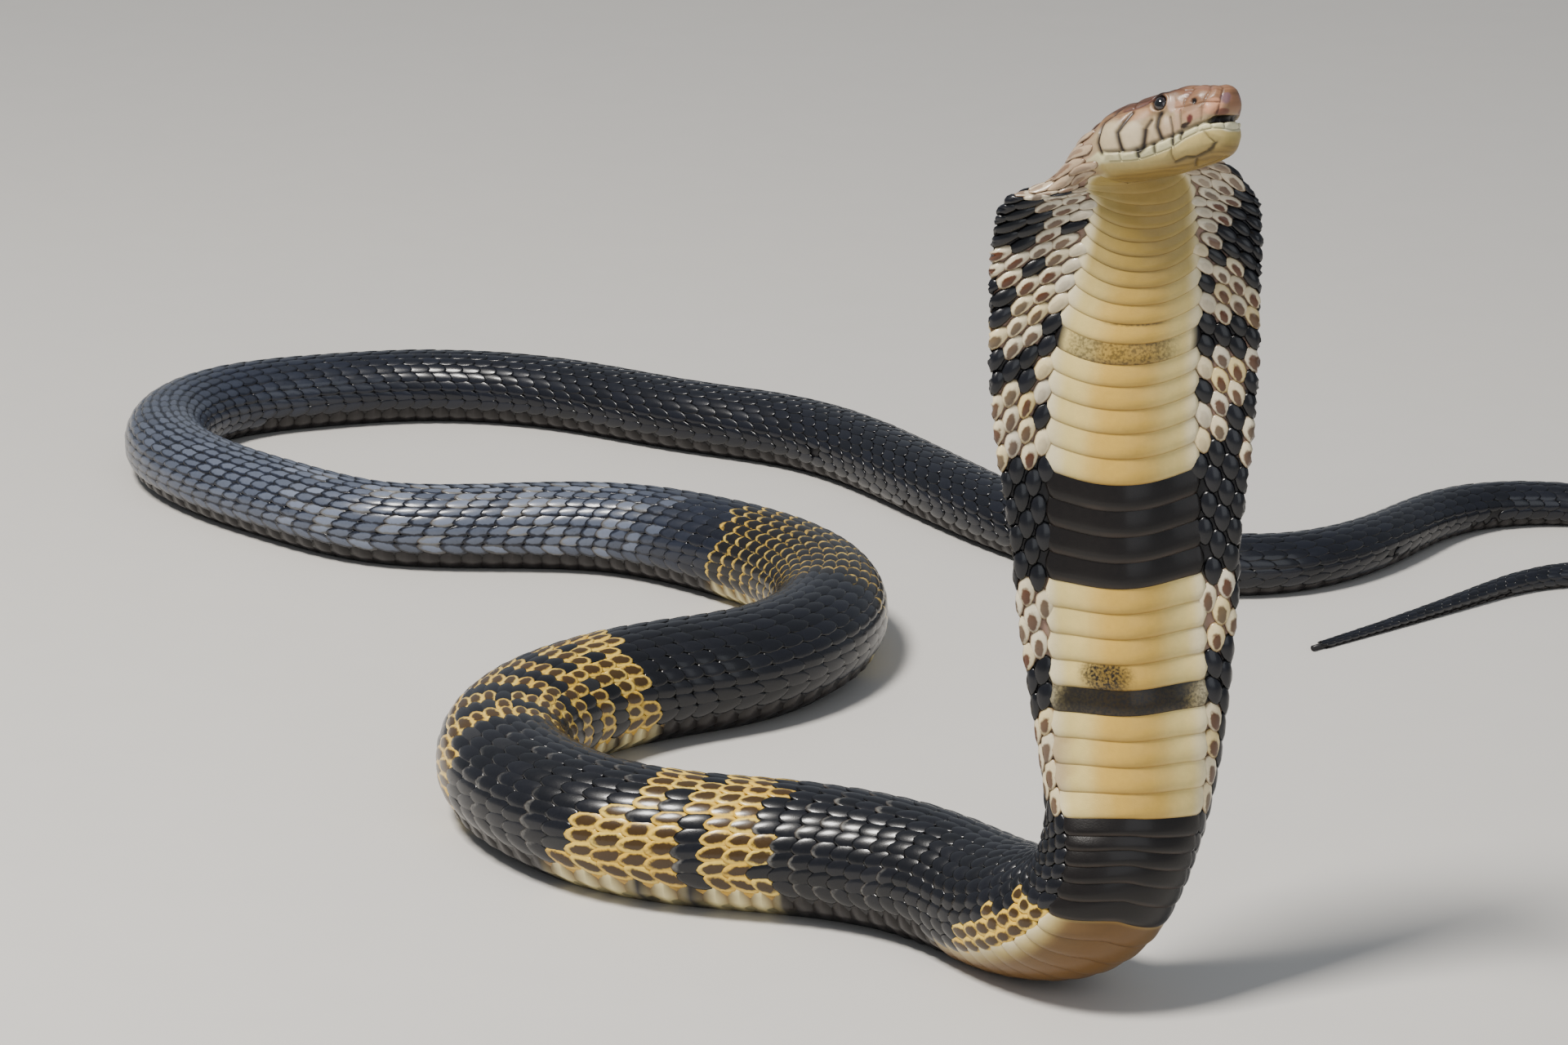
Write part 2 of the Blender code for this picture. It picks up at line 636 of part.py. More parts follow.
def main():
    for thing in list(bpy.data.objects):
        bpy.data.objects.remove(thing, do_unlink=True)
    scene = bpy.context.scene
    group = bpy.data.collections.new("banded_cobra")
    cutters = bpy.data.collections.new("cutters")
    scene.collection.children.link(group)
    scene.collection.children.link(cutters)
    build_head(group, cutters)
    for name, start, end in NODES:
        group.objects.link(paint(raised_length(name, start, end), "skin_pale"))
    edges = np.linspace(BODY_FROM, VENT_AT, BODY_LENGTHS + 1)
    for number, (start, end) in enumerate(zip(edges, edges[1:]), 1):
        length = ground_length(f"body_{number}", start, end, GROUND_STEP, GROUND_SHARES)
        group.objects.link(paint(length, "skin_dark"))
    edges = np.linspace(VENT_AT, LENGTH, TAIL_LENGTHS + 1)
    for number, (start, end) in enumerate(zip(edges, edges[1:]), 1):
        length = ground_length(f"tail_{number}", start, end, TAIL_STEP, TAIL_SHARES)
        group.objects.link(paint(length, "skin_dark"))


if __name__ == "__main__":
    main()
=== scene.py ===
"""West African banded cobra: skin, belly scutes, scales, eyes, stage and camera.

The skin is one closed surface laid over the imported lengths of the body. The
scales and the belly scutes are solid plates set on it in rows, and the same
functions colour the skin and the plates. Lengths are in centimetres until a
mesh is finished, and CM turns them into metres.
"""
import math

import bmesh
import bpy
import numpy as np
from bpy.props import FloatProperty, FloatVectorProperty, PointerProperty
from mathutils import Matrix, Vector
from mathutils.kdtree import KDTree


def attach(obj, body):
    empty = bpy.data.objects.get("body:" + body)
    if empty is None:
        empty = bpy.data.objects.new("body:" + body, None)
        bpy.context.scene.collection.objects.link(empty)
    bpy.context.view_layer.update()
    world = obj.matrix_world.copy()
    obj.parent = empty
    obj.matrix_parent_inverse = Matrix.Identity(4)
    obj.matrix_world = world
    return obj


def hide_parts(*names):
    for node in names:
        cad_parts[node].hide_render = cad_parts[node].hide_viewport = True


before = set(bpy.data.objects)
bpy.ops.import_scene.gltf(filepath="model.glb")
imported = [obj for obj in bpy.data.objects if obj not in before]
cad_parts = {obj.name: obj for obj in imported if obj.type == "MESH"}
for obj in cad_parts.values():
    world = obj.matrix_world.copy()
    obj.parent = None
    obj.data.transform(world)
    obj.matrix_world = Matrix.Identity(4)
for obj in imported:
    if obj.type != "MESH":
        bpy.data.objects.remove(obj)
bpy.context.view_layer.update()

bl_info = {
    "name": "Banded Cobra",
    "version": (1, 0, 0),
    "blender": (4, 5, 0),
    "location": "3D View > Sidebar > Cobra",
    "description": "Raised, hooded banded cobra with its scales, floor, light and camera",
    "category": "Add Mesh",
}

CM = 0.01
ORIGIN = (4.7, -16.67)

# Head: front of the mouth, how it is turned, and how far ahead of the nape the
# front of the mouth and the tip of the snout are
MOUTH_FRONT = (13.1, -47.9, 28.35)
HEAD_YAW = math.radians(53)
HEAD_PITCH = math.radians(21)
HEAD_ROLL = math.radians(12)
HEAD_LENGTH = 4.0
MOUTH_AT = 3.7

# Raised part of the centre line below the nape
COLUMN = (
    (10.3, -45.35, 25.9), (10.31, -45.25, 24.6), (10.28, -45.35, 22.8),
    (10.4, -46.0, 16.0), (10.58, -46.3, 11.5), (10.68, -46.6, 8.0),
    (10.5, -46.8, 5.6), (9.5, -46.8, 3.2), (7.8, -45.2, 2.15),
)
# Ground part of the centre line
GROUND = (
    (6.1, -42.8), (4.0, -40.8), (0.0, -39.1), (-2.8, -38.45), (-5.5, -37.3),
    (-7.9, -35.0), (-9.4, -31.8), (-9.2, -28.4), (-7.4, -25.4), (-4.5, -23.2),
    (-1.5, -21.6), (0.6, -19.3), (1.6, -16.5), (1.5, -13.4), (0.1, -10.4),
    (-2.5, -7.7), (-6.5, -5.3), (-11.0, -4.8), (-15.5, -4.3), (-19.4, -1.7),
    (-22.8, 1.6), (-24.9, 5.4), (-24.9, 8.9), (-23.1, 11.6), (-20.0, 13.1),
    (-15.0, 14.1), (-9.2, 12.9), (-4.0, 10.0), (0.6, 7.6), (5.3, 2.0),
    (9.7, -4.2), (14.0, -7.6), (18.8, -8.0), (23.2, -4.7), (25.0, -2.4),
    (27.2, -0.6), (30.9, 0.0), (34.3, -1.6), (35.5, -4.4), (33.4, -6.7),
    (28.8, -7.9), (26.0, -9.8), (22.8, -12.4), (19.5, -15.0),
)
# Section along the body: distance from the nape, half width, back, belly
SECTION = (
    (0.0, 1.55, 1.15, 0.8), (0.6, 2.25, 0.95, 0.8), (1.2, 3.35, 0.85, 0.86),
    (1.8, 3.86, 0.82, 0.92), (2.6, 4.0, 0.85, 0.97), (3.7, 4.02, 0.9, 1.0),
    (6.0, 4.05, 0.95, 1.02), (8.6, 3.9, 1.0, 1.08), (11.6, 3.53, 1.1, 1.15),
    (14.4, 3.3, 1.25, 1.25), (16.8, 3.06, 1.45, 1.4), (19.5, 2.7, 1.7, 1.6),
    (21.6, 2.42, 1.95, 1.8), (24.5, 2.27, 2.1, 1.95), (30.0, 2.22, 2.1, 2.02),
    (38.0, 2.28, 2.15, 2.1), (50.0, 2.25, 2.12, 2.08), (64.0, 2.15, 2.02, 2.0),
    (79.0, 1.92, 1.82, 1.8), (92.0, 1.62, 1.58, 1.56), (104.0, 1.6, 1.55, 1.52),
    (127.0, 1.52, 1.46, 1.44), (152.0, 1.42, 1.36, 1.34), (170.0, 1.1, 1.06, 1.04),
    (178.0, 0.92, 0.9, 0.88), (192.0, 0.55, 0.54, 0.53), (206.0, 0.16, 0.16, 0.16),
    (215.0, 0.08, 0.08, 0.08),
)
# How far the ribs spread the hood, from 1 where flat to 0 where round
HOOD = (
    (0.0, 0.1), (1.5, 0.9), (3.0, 1.0), (10.0, 1.0), (14.0, 0.75), (18.5, 0.35),
    (22.0, 0.0),
)
HOOD_EDGE = 0.34
HOOD_SWEEP = 0.35
HOOD_SWELL = 0.66
HOOD_ROUND = 1.2
BODY_SQUARE = 0.92
# Half width of the belly scutes as a share of the half width of the body
BELLY_SHARE = (
    (0.0, 0.75), (0.8, 0.6), (2.2, 0.4), (3.7, 0.42), (6.0, 0.515), (9.0, 0.57),
    (13.2, 0.69), (16.8, 0.77), (19.5, 0.85), (25.0, 0.86), (170.0, 0.84), (206.0, 0.8),
)
# Length of a belly scute along the body
SCUTE_LENGTH = (
    (0.0, 0.38), (3.0, 0.45), (5.5, 0.6), (8.0, 0.72), (10.4, 0.8), (20.4, 0.8),
    (21.4, 0.46), (24.0, 0.46), (27.0, 0.62), (31.0, 0.78), (171.0, 0.78), (189.0, 0.62),
    (207.0, 0.38),
)
# How far the ends of a scute lie ahead of its middle, and where that fades
SCUTE_RISE = ((0.0, 0.2), (3.0, 0.6), (7.0, 0.45), (12.0, 0.3), (16.0, 0.1), (24.0, 0.0))
RISE_FROM = (0.4, 1.6)
RISE_FADE = (0.3, 0.9)
RISE_POWER = 2.5
# How far the right ends of the scutes lag behind where the heel turns that way
SCUTE_LAG = (
    (0.0, 0.0), (17.0, 0.0), (19.0, 0.1), (20.0, 0.3), (21.0, 0.6), (22.0, 0.8), (23.5, 0.9),
    (25.0, 0.8), (27.0, 0.4), (30.0, 0.0),
)
LAG_POWER = 1.5
BELLY_PRESS = 0.9
NECK_BLEND = 1.2
JOINT_BLEND = 0.8
TOUCHDOWN = (29.0, 34.0)
BELLY_SHIFT = (
    (0.0, 0.0), (1.5, 0.45), (3.7, 0.45), (7.0, 0.0), (9.0, -0.08), (22.0, -0.08), (26.0, 0.0),
)
# Place, from the belly line to the back, where the belly scutes end
BELLY_PART = 0.3

# Along the head: half width, crown above the lip line and jaw below it
HEAD_WIDTH = (
    (-2.0, 1.5), (0.0, 1.55), (0.4, 1.58), (1.1, 1.5), (1.9, 1.26), (2.5, 1.08),
    (2.9, 0.97), (4.0, 0.9),
)
HEAD_CROWN = (
    (-2.0, 1.0), (0.0, 1.18), (0.5, 1.27), (2.0, 1.37), (2.6, 1.41), (3.1, 1.33),
    (3.6, 1.24), (4.0, 1.17),
)
HEAD_JAW = (
    (-2.0, 0.7), (0.0, 0.82), (1.0, 0.94), (2.5, 0.95), (3.2, 0.88), (4.0, 0.76),
)
LIP_LINE = (
    (-2.0, 0.0), (0.0, -0.02), (0.7, -0.16), (1.25, -0.24), (1.7, -0.18), (2.1, -0.1),
    (2.8, 0.03), (3.2, 0.12), (3.5, 0.17), (4.0, 0.2),
)
SNOUT_FROM = 2.9
SNOUT_FRONT = (
    (0.0, 3.5), (0.3, 3.79), (0.46, 3.86), (0.5, 3.76), (0.54, 3.92), (0.7, 4.07),
    (0.85, 4.02), (1.0, 3.75),
)
SNOUT_BLUNT = 0.85
SNOUT_SQUARE = 0.75
CROWN_FLAT = (0.86, 0.6)
CROWN_FLAT_OVER = (-0.4, 1.2)
CROWN_HEIGHT_POWER = 0.86
JAW_WIDTH_POWER = 0.85
JAW_HEIGHT_POWER = 0.9
JAW_TUCK = 0.1
# Swellings and hollows of the brow, the orbit and the cheek
SWELLINGS = (
    (2.15, 0.38, 0.83, 0.05, 0.06, 0.09),
    (2.3, 0.36, 0.64, 0.07, -0.05, 0.0),
    (0.5, 0.8, 0.62, 0.14, 0.07, 0.0),
)
EYE_AT = (2.05, 0.83, 0.98)
EYE_RADIUS = 0.25
NOSTRIL_AT = (3.2, 0.82, 0.86)
TINY = 1e-4
# How far the neighbours lie that give a normal: along the body and in places
NORMAL_STEPS = (0.03, 0.006)
LINE_SAMPLES = 4001


def read(table, at, column=1):
    """Value of a table of stations at a distance, eased between its rows."""
    rows = np.array(table, float)
    x = rows[:, 0]
    y = rows[:, column]
    at = np.asarray(at, float)
    slope = np.gradient(y, x)
    k = np.clip(np.searchsorted(x, at, side="right") - 1, 0, len(x) - 2)
    step = x[k + 1] - x[k]
    u = np.clip((at - x[k]) / step, 0.0, 1.0)
    secant = (y[k + 1] - y[k]) / step
    limit = 3.0 * np.abs(secant)
    m0 = np.where(slope[k] * secant > 0, np.clip(slope[k], -limit, limit), 0.0)
    m1 = np.where(slope[k + 1] * secant > 0, np.clip(slope[k + 1], -limit, limit), 0.0)
    h00 = 2 * u**3 - 3 * u**2 + 1
    h10 = u**3 - 2 * u**2 + u
    h01 = -2 * u**3 + 3 * u**2
    h11 = u**3 - u**2
    return h00 * y[k] + h10 * step * m0 + h01 * y[k + 1] + h11 * step * m1


def smooth(low, high, value):
    u = np.clip((np.asarray(value, float) - low) / (high - low), 0.0, 1.0)
    return u * u * (3.0 - 2.0 * u)


def unit(v):
    return v / np.maximum(np.linalg.norm(v, axis=-1, keepdims=True), 1e-12)


def natural_spline(t, y, at):
    """Natural cubic spline through the points y at the distances t."""
    count = len(t)
    h = np.diff(t)
    matrix = np.zeros((count, count))
    right = np.zeros((count, y.shape[1]))
    matrix[0, 0] = 1.0
    matrix[-1, -1] = 1.0
    for i in range(1, count - 1):
        matrix[i, i - 1] = h[i - 1]
        matrix[i, i] = 2.0 * (h[i - 1] + h[i])
        matrix[i, i + 1] = h[i]
        right[i] = 6.0 * ((y[i + 1] - y[i]) / h[i] - (y[i] - y[i - 1]) / h[i - 1])
    bend = np.linalg.solve(matrix, right)
    k = np.clip(np.searchsorted(t, at) - 1, 0, count - 2)
    step = h[k][:, None]
    a = (t[k + 1] - at)[:, None] / step
    b = 1.0 - a
    curve = ((a**3 - a) * bend[k] + (b**3 - b) * bend[k + 1]) * step**2 / 6.0
    return a * y[k] + b * y[k + 1] + curve


def head_axes():
    """Forward, left and up of the head."""
    flat = np.array([math.sin(HEAD_YAW), -math.cos(HEAD_YAW), 0.0])
    rise = np.array([0.0, 0.0, 1.0])
    forward = math.cos(HEAD_PITCH) * flat + math.sin(HEAD_PITCH) * rise
    level = math.cos(HEAD_PITCH) * rise - math.sin(HEAD_PITCH) * flat
    up = math.cos(HEAD_ROLL) * level + math.sin(HEAD_ROLL) * np.cross(level, forward)
    return forward, np.cross(up, forward), up


FORWARD, LEFT, UP = head_axes()
NAPE = np.array(MOUTH_FRONT) - MOUTH_AT * FORWARD
LINE_IN_HEAD = (3.0, 1.5, 0.35)
# Which way the back faces: distance from the nape, x, y, z
BACK_FACES = (
    (0.0, *UP), (0.3, *UP), (1.3, -0.15, 1.0, 0.15), (3.0, 0.0, 1.0, 0.0),
    (19.0, 0.0, 1.0, 0.0), (24.0, -0.25, 0.95, 0.35), (28.0, -0.5, 0.85, 1.0),
    (33.0, 0.0, 0.0, 1.0), (300.0, 0.0, 0.0, 1.0),
)

# How far the spread shoulders are brought level, against the tilt of the line
SHOULDER_LEVEL = ((0.0, 0.0), (0.7, 0.0), (1.5, 1.0), (6.0, 1.0), (12.0, 0.0))


def centre_line():
    """Dense centre line: distance, point, dorsal and left side, the last two found from its tangent."""
    inner = [NAPE + ahead * FORWARD for ahead in LINE_IN_HEAD]
    ground = [(x, y, 0.0) for x, y in GROUND]
    knots = np.array([*inner, NAPE, *COLUMN, *ground])
    first = len(inner) + 1 + len(COLUMN)
    for _ in range(3):
        t = np.r_[0.0, np.cumsum(np.linalg.norm(np.diff(knots, axis=0), axis=1))]
        from_nape = t - t[len(inner)]
        knots[first:, 2] = read(SECTION, from_nape[first:], 3) * BELLY_PRESS
    fine = np.linspace(t[len(inner)], t[-1], LINE_SAMPLES)
    points = natural_spline(t, knots, fine)
    reach = np.r_[0.0, np.cumsum(np.linalg.norm(np.diff(points, axis=0), axis=1))]
    ground_level = read(SECTION, reach, 3) * BELLY_PRESS
    on_ground = smooth(*TOUCHDOWN, reach)
    points[:, 2] = points[:, 2] * (1.0 - on_ground) + ground_level * on_ground
    tangent = unit(np.gradient(points, axis=0))
    joint = smooth(0.0, JOINT_BLEND, reach)[:, None]
    tangent = unit(joint * tangent - (1.0 - joint) * FORWARD)
    rows = np.array(BACK_FACES)
    hint = np.stack([np.interp(reach, rows[:, 0], rows[:, k]) for k in (1, 2, 3)], 1)
    dorsal = unit(hint - np.sum(hint * tangent, 1)[:, None] * tangent)
    left = np.cross(tangent, dorsal)
    left[:, 2] *= 1.0 - read(SHOULDER_LEVEL, reach)
    return reach, points, dorsal, unit(left)


REACH, POINTS, DORSAL, SIDE = centre_line()
LENGTH = float(REACH[-1])


def frame_at(reach):
    """Centre, left and dorsal directions at distances from the nape."""
    parts = []
    for rows in (POINTS, SIDE, DORSAL):
        parts.append(np.stack([np.interp(reach, REACH, rows[:, k]) for k in range(3)], -1))
    return parts[0], unit(parts[1]), unit(parts[2])


def section_curve(reach, angle):
    """Side and dorsal offsets of the section at angles from the belly line."""
    half = read(SECTION, reach, 1)
    back = read(SECTION, reach, 2)
    belly = read(SECTION, reach, 3)
    spread = read(HOOD, reach)
    sine = np.sin(angle)
    cosine = np.cos(angle)
    share = np.abs(sine)
    below = cosine > 0
    rounded = np.where(below, -belly, back) * np.abs(cosine) ** BODY_SQUARE
    swell = 0.5 + 0.5 * np.cos(np.pi * np.clip(share / HOOD_SWELL, 0.0, 1.0))
    swell_below = (belly - HOOD_EDGE) * swell
    swell_above = (back - HOOD_EDGE) * (1.0 - share**2) ** HOOD_ROUND
    flat = np.where(
        below,
        -HOOD_EDGE * np.abs(cosine) - swell_below,
        HOOD_EDGE * np.abs(cosine) + swell_above,
    )
    flat = flat - HOOD_SWEEP * share**3
    turned = read(BELLY_SHIFT, reach) * np.maximum(cosine, 0.0)
    return half * sine, turned, (1.0 - spread) * rounded + spread * flat


# Stations and places of the table that turns places into angles
ANGLE_STATIONS = 1401
ANGLE_PLACES = 101


def angle_table():
    """Angle of the section for each station along the body and each place."""
    reach = np.linspace(0.0, LENGTH, ANGLE_STATIONS)
    places = np.linspace(0.0, 1.0, ANGLE_PLACES)
    angle = np.linspace(0.0, np.pi, 241)
    x, _, y = section_curve(reach[:, None], angle[None, :])
    run = np.cumsum(np.hypot(np.diff(x, axis=1), np.diff(y, axis=1)), axis=1)
    run = np.concatenate([np.zeros((len(reach), 1)), run], axis=1)
    edge = np.arcsin(np.clip(read(BELLY_SHARE, reach), 0.0, 0.999))
    table = np.zeros((len(reach), len(places)))
    rest = (places - BELLY_PART) / (1.0 - BELLY_PART)
    for k in range(len(reach)):
        edge_run = np.interp(edge[k], angle, run[k])
        flank = edge_run + rest * (run[k, -1] - edge_run)
        wanted = np.where(places < BELLY_PART, places / BELLY_PART * edge_run, flank)
        table[k] = np.interp(wanted, run[k], angle)
    return table


ANGLES = angle_table()


def section_angle(reach, place):
    """Angle of the section for places from 0 at the belly line to 1 at the back."""
    row = np.clip(reach / LENGTH, 0.0, 1.0) * (ANGLE_STATIONS - 1)
    column = np.clip(place, 0.0, 1.0) * (ANGLE_PLACES - 1)
    i = np.minimum(row.astype(int), ANGLE_STATIONS - 2)
    j = np.minimum(column.astype(int), ANGLE_PLACES - 2)
    u = row - i
    w = column - j
    near = ANGLES[i, j] * (1.0 - w) + ANGLES[i, j + 1] * w
    far = ANGLES[i + 1, j] * (1.0 - w) + ANGLES[i + 1, j + 1] * w
    return near * (1.0 - u) + far * u


def side_reach(reach, place, sine, sign):
    """Distance from the nape of each point of a ring, as scutes rise and lag."""
    toward_end = np.clip(place / BELLY_PART, 0.0, 1.0) ** RISE_POWER
    fade = 1.0 - smooth(*RISE_FADE, place)
    rise = read(SCUTE_RISE, reach) * smooth(*RISE_FROM, reach)
    lag = read(SCUTE_LAG, reach) * np.abs(sine) ** LAG_POWER * (sign < 0)
    return np.clip(reach - rise * toward_end * fade + lag, 0.0, LENGTH)


def head_point(run, place):
    """Point of the head in its own frame, place 0 at the chin to 1 at the crown.

    Up to SNOUT_FROM the run is the distance from the nape. Past it the run
    turns round the snout and ends in the middle of its front.
    """
    turn = np.clip((run - SNOUT_FROM) / (HEAD_LENGTH - SNOUT_FROM), 0.0, 1.0) * np.pi / 2
    front = read(SNOUT_FRONT, place)
    rounded = SNOUT_FROM + (front - SNOUT_FROM) * np.sin(turn) ** SNOUT_BLUNT
    ahead = np.where(run < SNOUT_FROM, run, rounded)
    narrow = np.cos(turn) ** SNOUT_SQUARE
    wide = read(HEAD_WIDTH, ahead)
    crown = read(HEAD_CROWN, ahead)
    jaw = read(HEAD_JAW, ahead)
    lip = read(LIP_LINE, ahead)
    sine = np.abs(np.sin(np.pi * place))
    cosine = np.abs(np.cos(np.pi * place))
    upper = place > 0.5
    flat = CROWN_FLAT[0] + (CROWN_FLAT[1] - CROWN_FLAT[0]) * smooth(*CROWN_FLAT_OVER, ahead)
    jaw_side = sine**JAW_WIDTH_POWER * (1.0 - JAW_TUCK * cosine)
    side = wide * np.where(upper, sine**flat, jaw_side) * narrow
    above = lip + (crown - lip) * cosine**CROWN_HEIGHT_POWER
    below = lip - (jaw + lip) * cosine**JAW_HEIGHT_POWER
    height = np.where(upper, above, below)
    for along, along_spread, around, around_spread, out, up in SWELLINGS:
        swell = np.exp(-((ahead - along) / along_spread) ** 2 - ((place - around) / around_spread) ** 2)
        side = side + out * swell
        height = height + up * swell
    return ahead, np.maximum(side, 0.0) * (narrow > TINY), height


def in_head(ahead, left, up):
    """World point, in centimetres, of a point in the head's frame."""
    return NAPE + ahead[..., None] * FORWARD + left[..., None] * LEFT + up[..., None] * UP


def surface(reach, place, sign):
    """Points of the bare body: the nape is at 0, the head at negative distances.

    A place below 0 or above 1 has passed the belly line or the middle of the
    back, and comes out on the other side.
    """
    reach, place, sign = np.broadcast_arrays(
        np.asarray(reach, float), np.asarray(place, float), np.asarray(sign, float))
    sign = np.where((place < 0.0) | (place > 1.0), -sign, sign)
    place = np.where(place > 1.0, 2.0 - place, np.abs(place))
    body = np.maximum(reach, 0.0)
    angle = section_angle(body, place)
    along = side_reach(body, place, np.sin(angle), sign)
    side, turned, height = section_curve(along, angle)
    ahead, head_side, head_height = head_point(-reach, place)
    blend = smooth(0.0, NECK_BLEND, body)
    side = (1.0 - blend) * head_side + blend * side
    turned = blend * turned
    height = (1.0 - blend) * head_height + blend * height
    centre, left, dorsal = frame_at(along)
    points = centre + (sign * side + turned)[..., None] * left + height[..., None] * dorsal
    head = in_head(ahead, sign * head_side, head_height)
    points = np.where((reach < 0.0)[..., None], head, points)
    points[..., 2] = np.maximum(points[..., 2], 0.0)
    return points


def outward(reach, place, sign):
    """Outward normals of the body, from close neighbours on its surface."""
    ahead, beside = NORMAL_STEPS
    along = surface(reach + ahead, place, sign) - surface(reach - ahead, place, sign)
    around = surface(reach, place + beside, sign) - surface(reach, place - beside, sign)
    return unit(np.cross(along, around) * np.asarray(sign, float)[..., None])


def scute_numbers():
    """Stations along the animal and the number of belly scutes before each."""
    stations = np.linspace(-HEAD_LENGTH, LENGTH, 8001)
    pitch = read(SCUTE_LENGTH, stations)
    number = np.r_[0.0, np.cumsum(np.diff(stations) / (0.5 * (pitch[1:] + pitch[:-1])))]
    return stations, number - np.interp(0.0, stations, number)


STATIONS, NUMBERS = scute_numbers()


def reach_of(number):
    """Distance from the nape of a place counted in scutes."""
    return np.interp(number, NUMBERS, STATIONS)


# Rows of scales from the middle of the back down to the belly scutes. Rows are
# counted from the middle of the back, positive on the animal's left
SCALE_ROWS = (
    (0.0, 9.5), (2.0, 11.0), (4.5, 12.5), (9.0, 12.5), (16.0, 9.5), (104.0, 9.5),
    (118.0, 8.5), (140.0, 8.5), (150.0, 7.5), (171.0, 6.5), (180.0, 5.0), (192.0, 4.0),
    (207.0, 3.0),
)

# How far each row of scales is set back from the row above it, on the ground
ROW_STEP = ((30.0, 0.08), (46.0, 0.08), (62.0, 0.34), (110.0, 0.34), (130.0, 0.42), (207.0, 0.5))
# Distances over which the half steps of the hood turn into those steps
STEP_CHANGE = (24.0, 32.0)
# The lowest rows, counted from the belly scutes, and how far they are set ahead
LOWEST_ROWS = (-3.2, -1.2)
LOWEST_STEP = 0.45


def row_shift(reach, row):
    """Share of a scale by which a row is set along the body."""
    rows = np.abs(row)
    on_hood = 0.5 * (rows % 2)
    step = read(ROW_STEP, reach) * rows
    low_rows = smooth(*LOWEST_ROWS, rows - read(SCALE_ROWS, reach))
    step = step - LOWEST_STEP * low_rows
    turn = step - on_hood
    return on_hood + (turn - np.round(turn)) * smooth(*STEP_CHANGE, reach)


# Markings

# Black patches of the hood: side, scute number, row, half length, half width.
# The rows count from the middle of the back
HOOD_BLACK = (
    (-1, 3.1, 9.2, 0.55, 0.7), (-1, 7.2, 8.3, 1.7, 1.7), (-1, 6.5, 6.0, 3.0, 2.5),
    (-1, 7.1, 11.3, 0.55, 0.9), (-1, 10.2, 10.2, 0.55, 0.6), (-1, 12.1, 8.6, 0.7, 1.1),
    (-1, 13.2, 12.3, 0.95, 0.9), (-1, 14.9, 10.4, 0.9, 1.1), (-1, 15.0, 8.6, 0.6, 0.8),
    (-1, 17.0, 12.2, 0.55, 0.9), (-1, 19.5, 8.6, 1.0, 1.2),
    (1, 8.6, 9.0, 1.5, 1.9), (1, 9.1, 11.1, 0.5, 0.6), (1, 8.0, 12.3, 1.2, 0.5),
    (1, 11.0, 12.2, 0.6, 0.6), (1, 13.2, 10.4, 0.9, 0.9), (1, 14.0, 11.8, 0.8, 0.8),
    (1, 17.2, 9.9, 0.9, 0.9), (1, 18.2, 10.8, 0.6, 0.9), (1, 15.9, 8.6, 0.9, 0.8),
    (1, 12.9, 12.4, 0.6, 0.5), (1, 16.3, 12.4, 0.6, 0.5),
)
# Rows from the middle of the back within which the hood is black
HOOD_BACK = ((0.0, 0.0), (1.5, 3.0), (4.0, 6.6), (6.0, 7.9), (12.0, 8.0), (19.0, 7.2))
# Black bands across the whole body, in scute numbers
RAISED_BANDS = ((18.9, 22.9), (26.4, 27.9), (31.9, 37.9))
# How many rows beside the belly scutes stay pale on the column, high up and low
# down, and the distances between which that changes
COLUMN_PALE = (4.6, 3.0)
COLUMN_AT = (9.0, 17.0)
# Scute from which the heel is black, but for its wedge
HEEL_FROM = 31.9
# The pale wedge low on the heel's right flank: first scute, last scute at the
# belly, how many fewer there are at the back, and how far up it goes
HEEL_WEDGE = (37.9, 46.5, 7.4, 0.9)
# Distance from which the ground bands count
LAND = 33.0
# Pale bands on the ground: from and to along the back, and how much further
# they reach along the flank
GROUND_BANDS = ((37.2, 41.6, 2.4), (49.3, 58.7, 0.4), (69.5, 78.5, 0.5))
# Dark crossbars inside those bands: distance and half width
CROSSBARS = (
    (39.8, 0.34), (41.5, 0.24), (50.6, 0.28), (52.0, 0.25), (53.5, 0.28), (55.2, 0.26), (56.9, 0.24),
)


def linear(red, green, blue):
    """Linear colour of screen values from 0 to 255."""
    value = np.array([red, green, blue], float) / 255.0
    return tuple(np.where(value <= 0.04045, value / 12.92, ((value + 0.055) / 1.055) ** 2.4))


def mix(first, second, share):
    share = np.asarray(share, float)[..., None]
    return np.asarray(first) * (1.0 - share) + np.asarray(second) * share


def stretch(begins, full, fades, ends, value):
    """Share that is 1 from full to fades and eases to 0 at both ends."""
    return smooth(begins, full, value) * (1.0 - smooth(fades, ends, value))


def mix1(first, second, share):
    """Number between two numbers."""
    return first * (1.0 - share) + second * share


def wave(*values):
    """Smooth pseudo-random value between -1 and 1 from coordinates."""
    total = 0.0
    for turn, (finer, shift) in enumerate(((1.0, 0.0), (1.93, 1.7), (3.71, 4.1))):
        phase = shift
        for number, value in enumerate(values):
            phase = phase + value * finer * (1.0 + 0.37 * number)
            phase = phase + 1.3 * np.sin(value * finer * 0.71 + number + turn)
        total = total + np.sin(phase) * 0.5**turn
    return total / 1.75


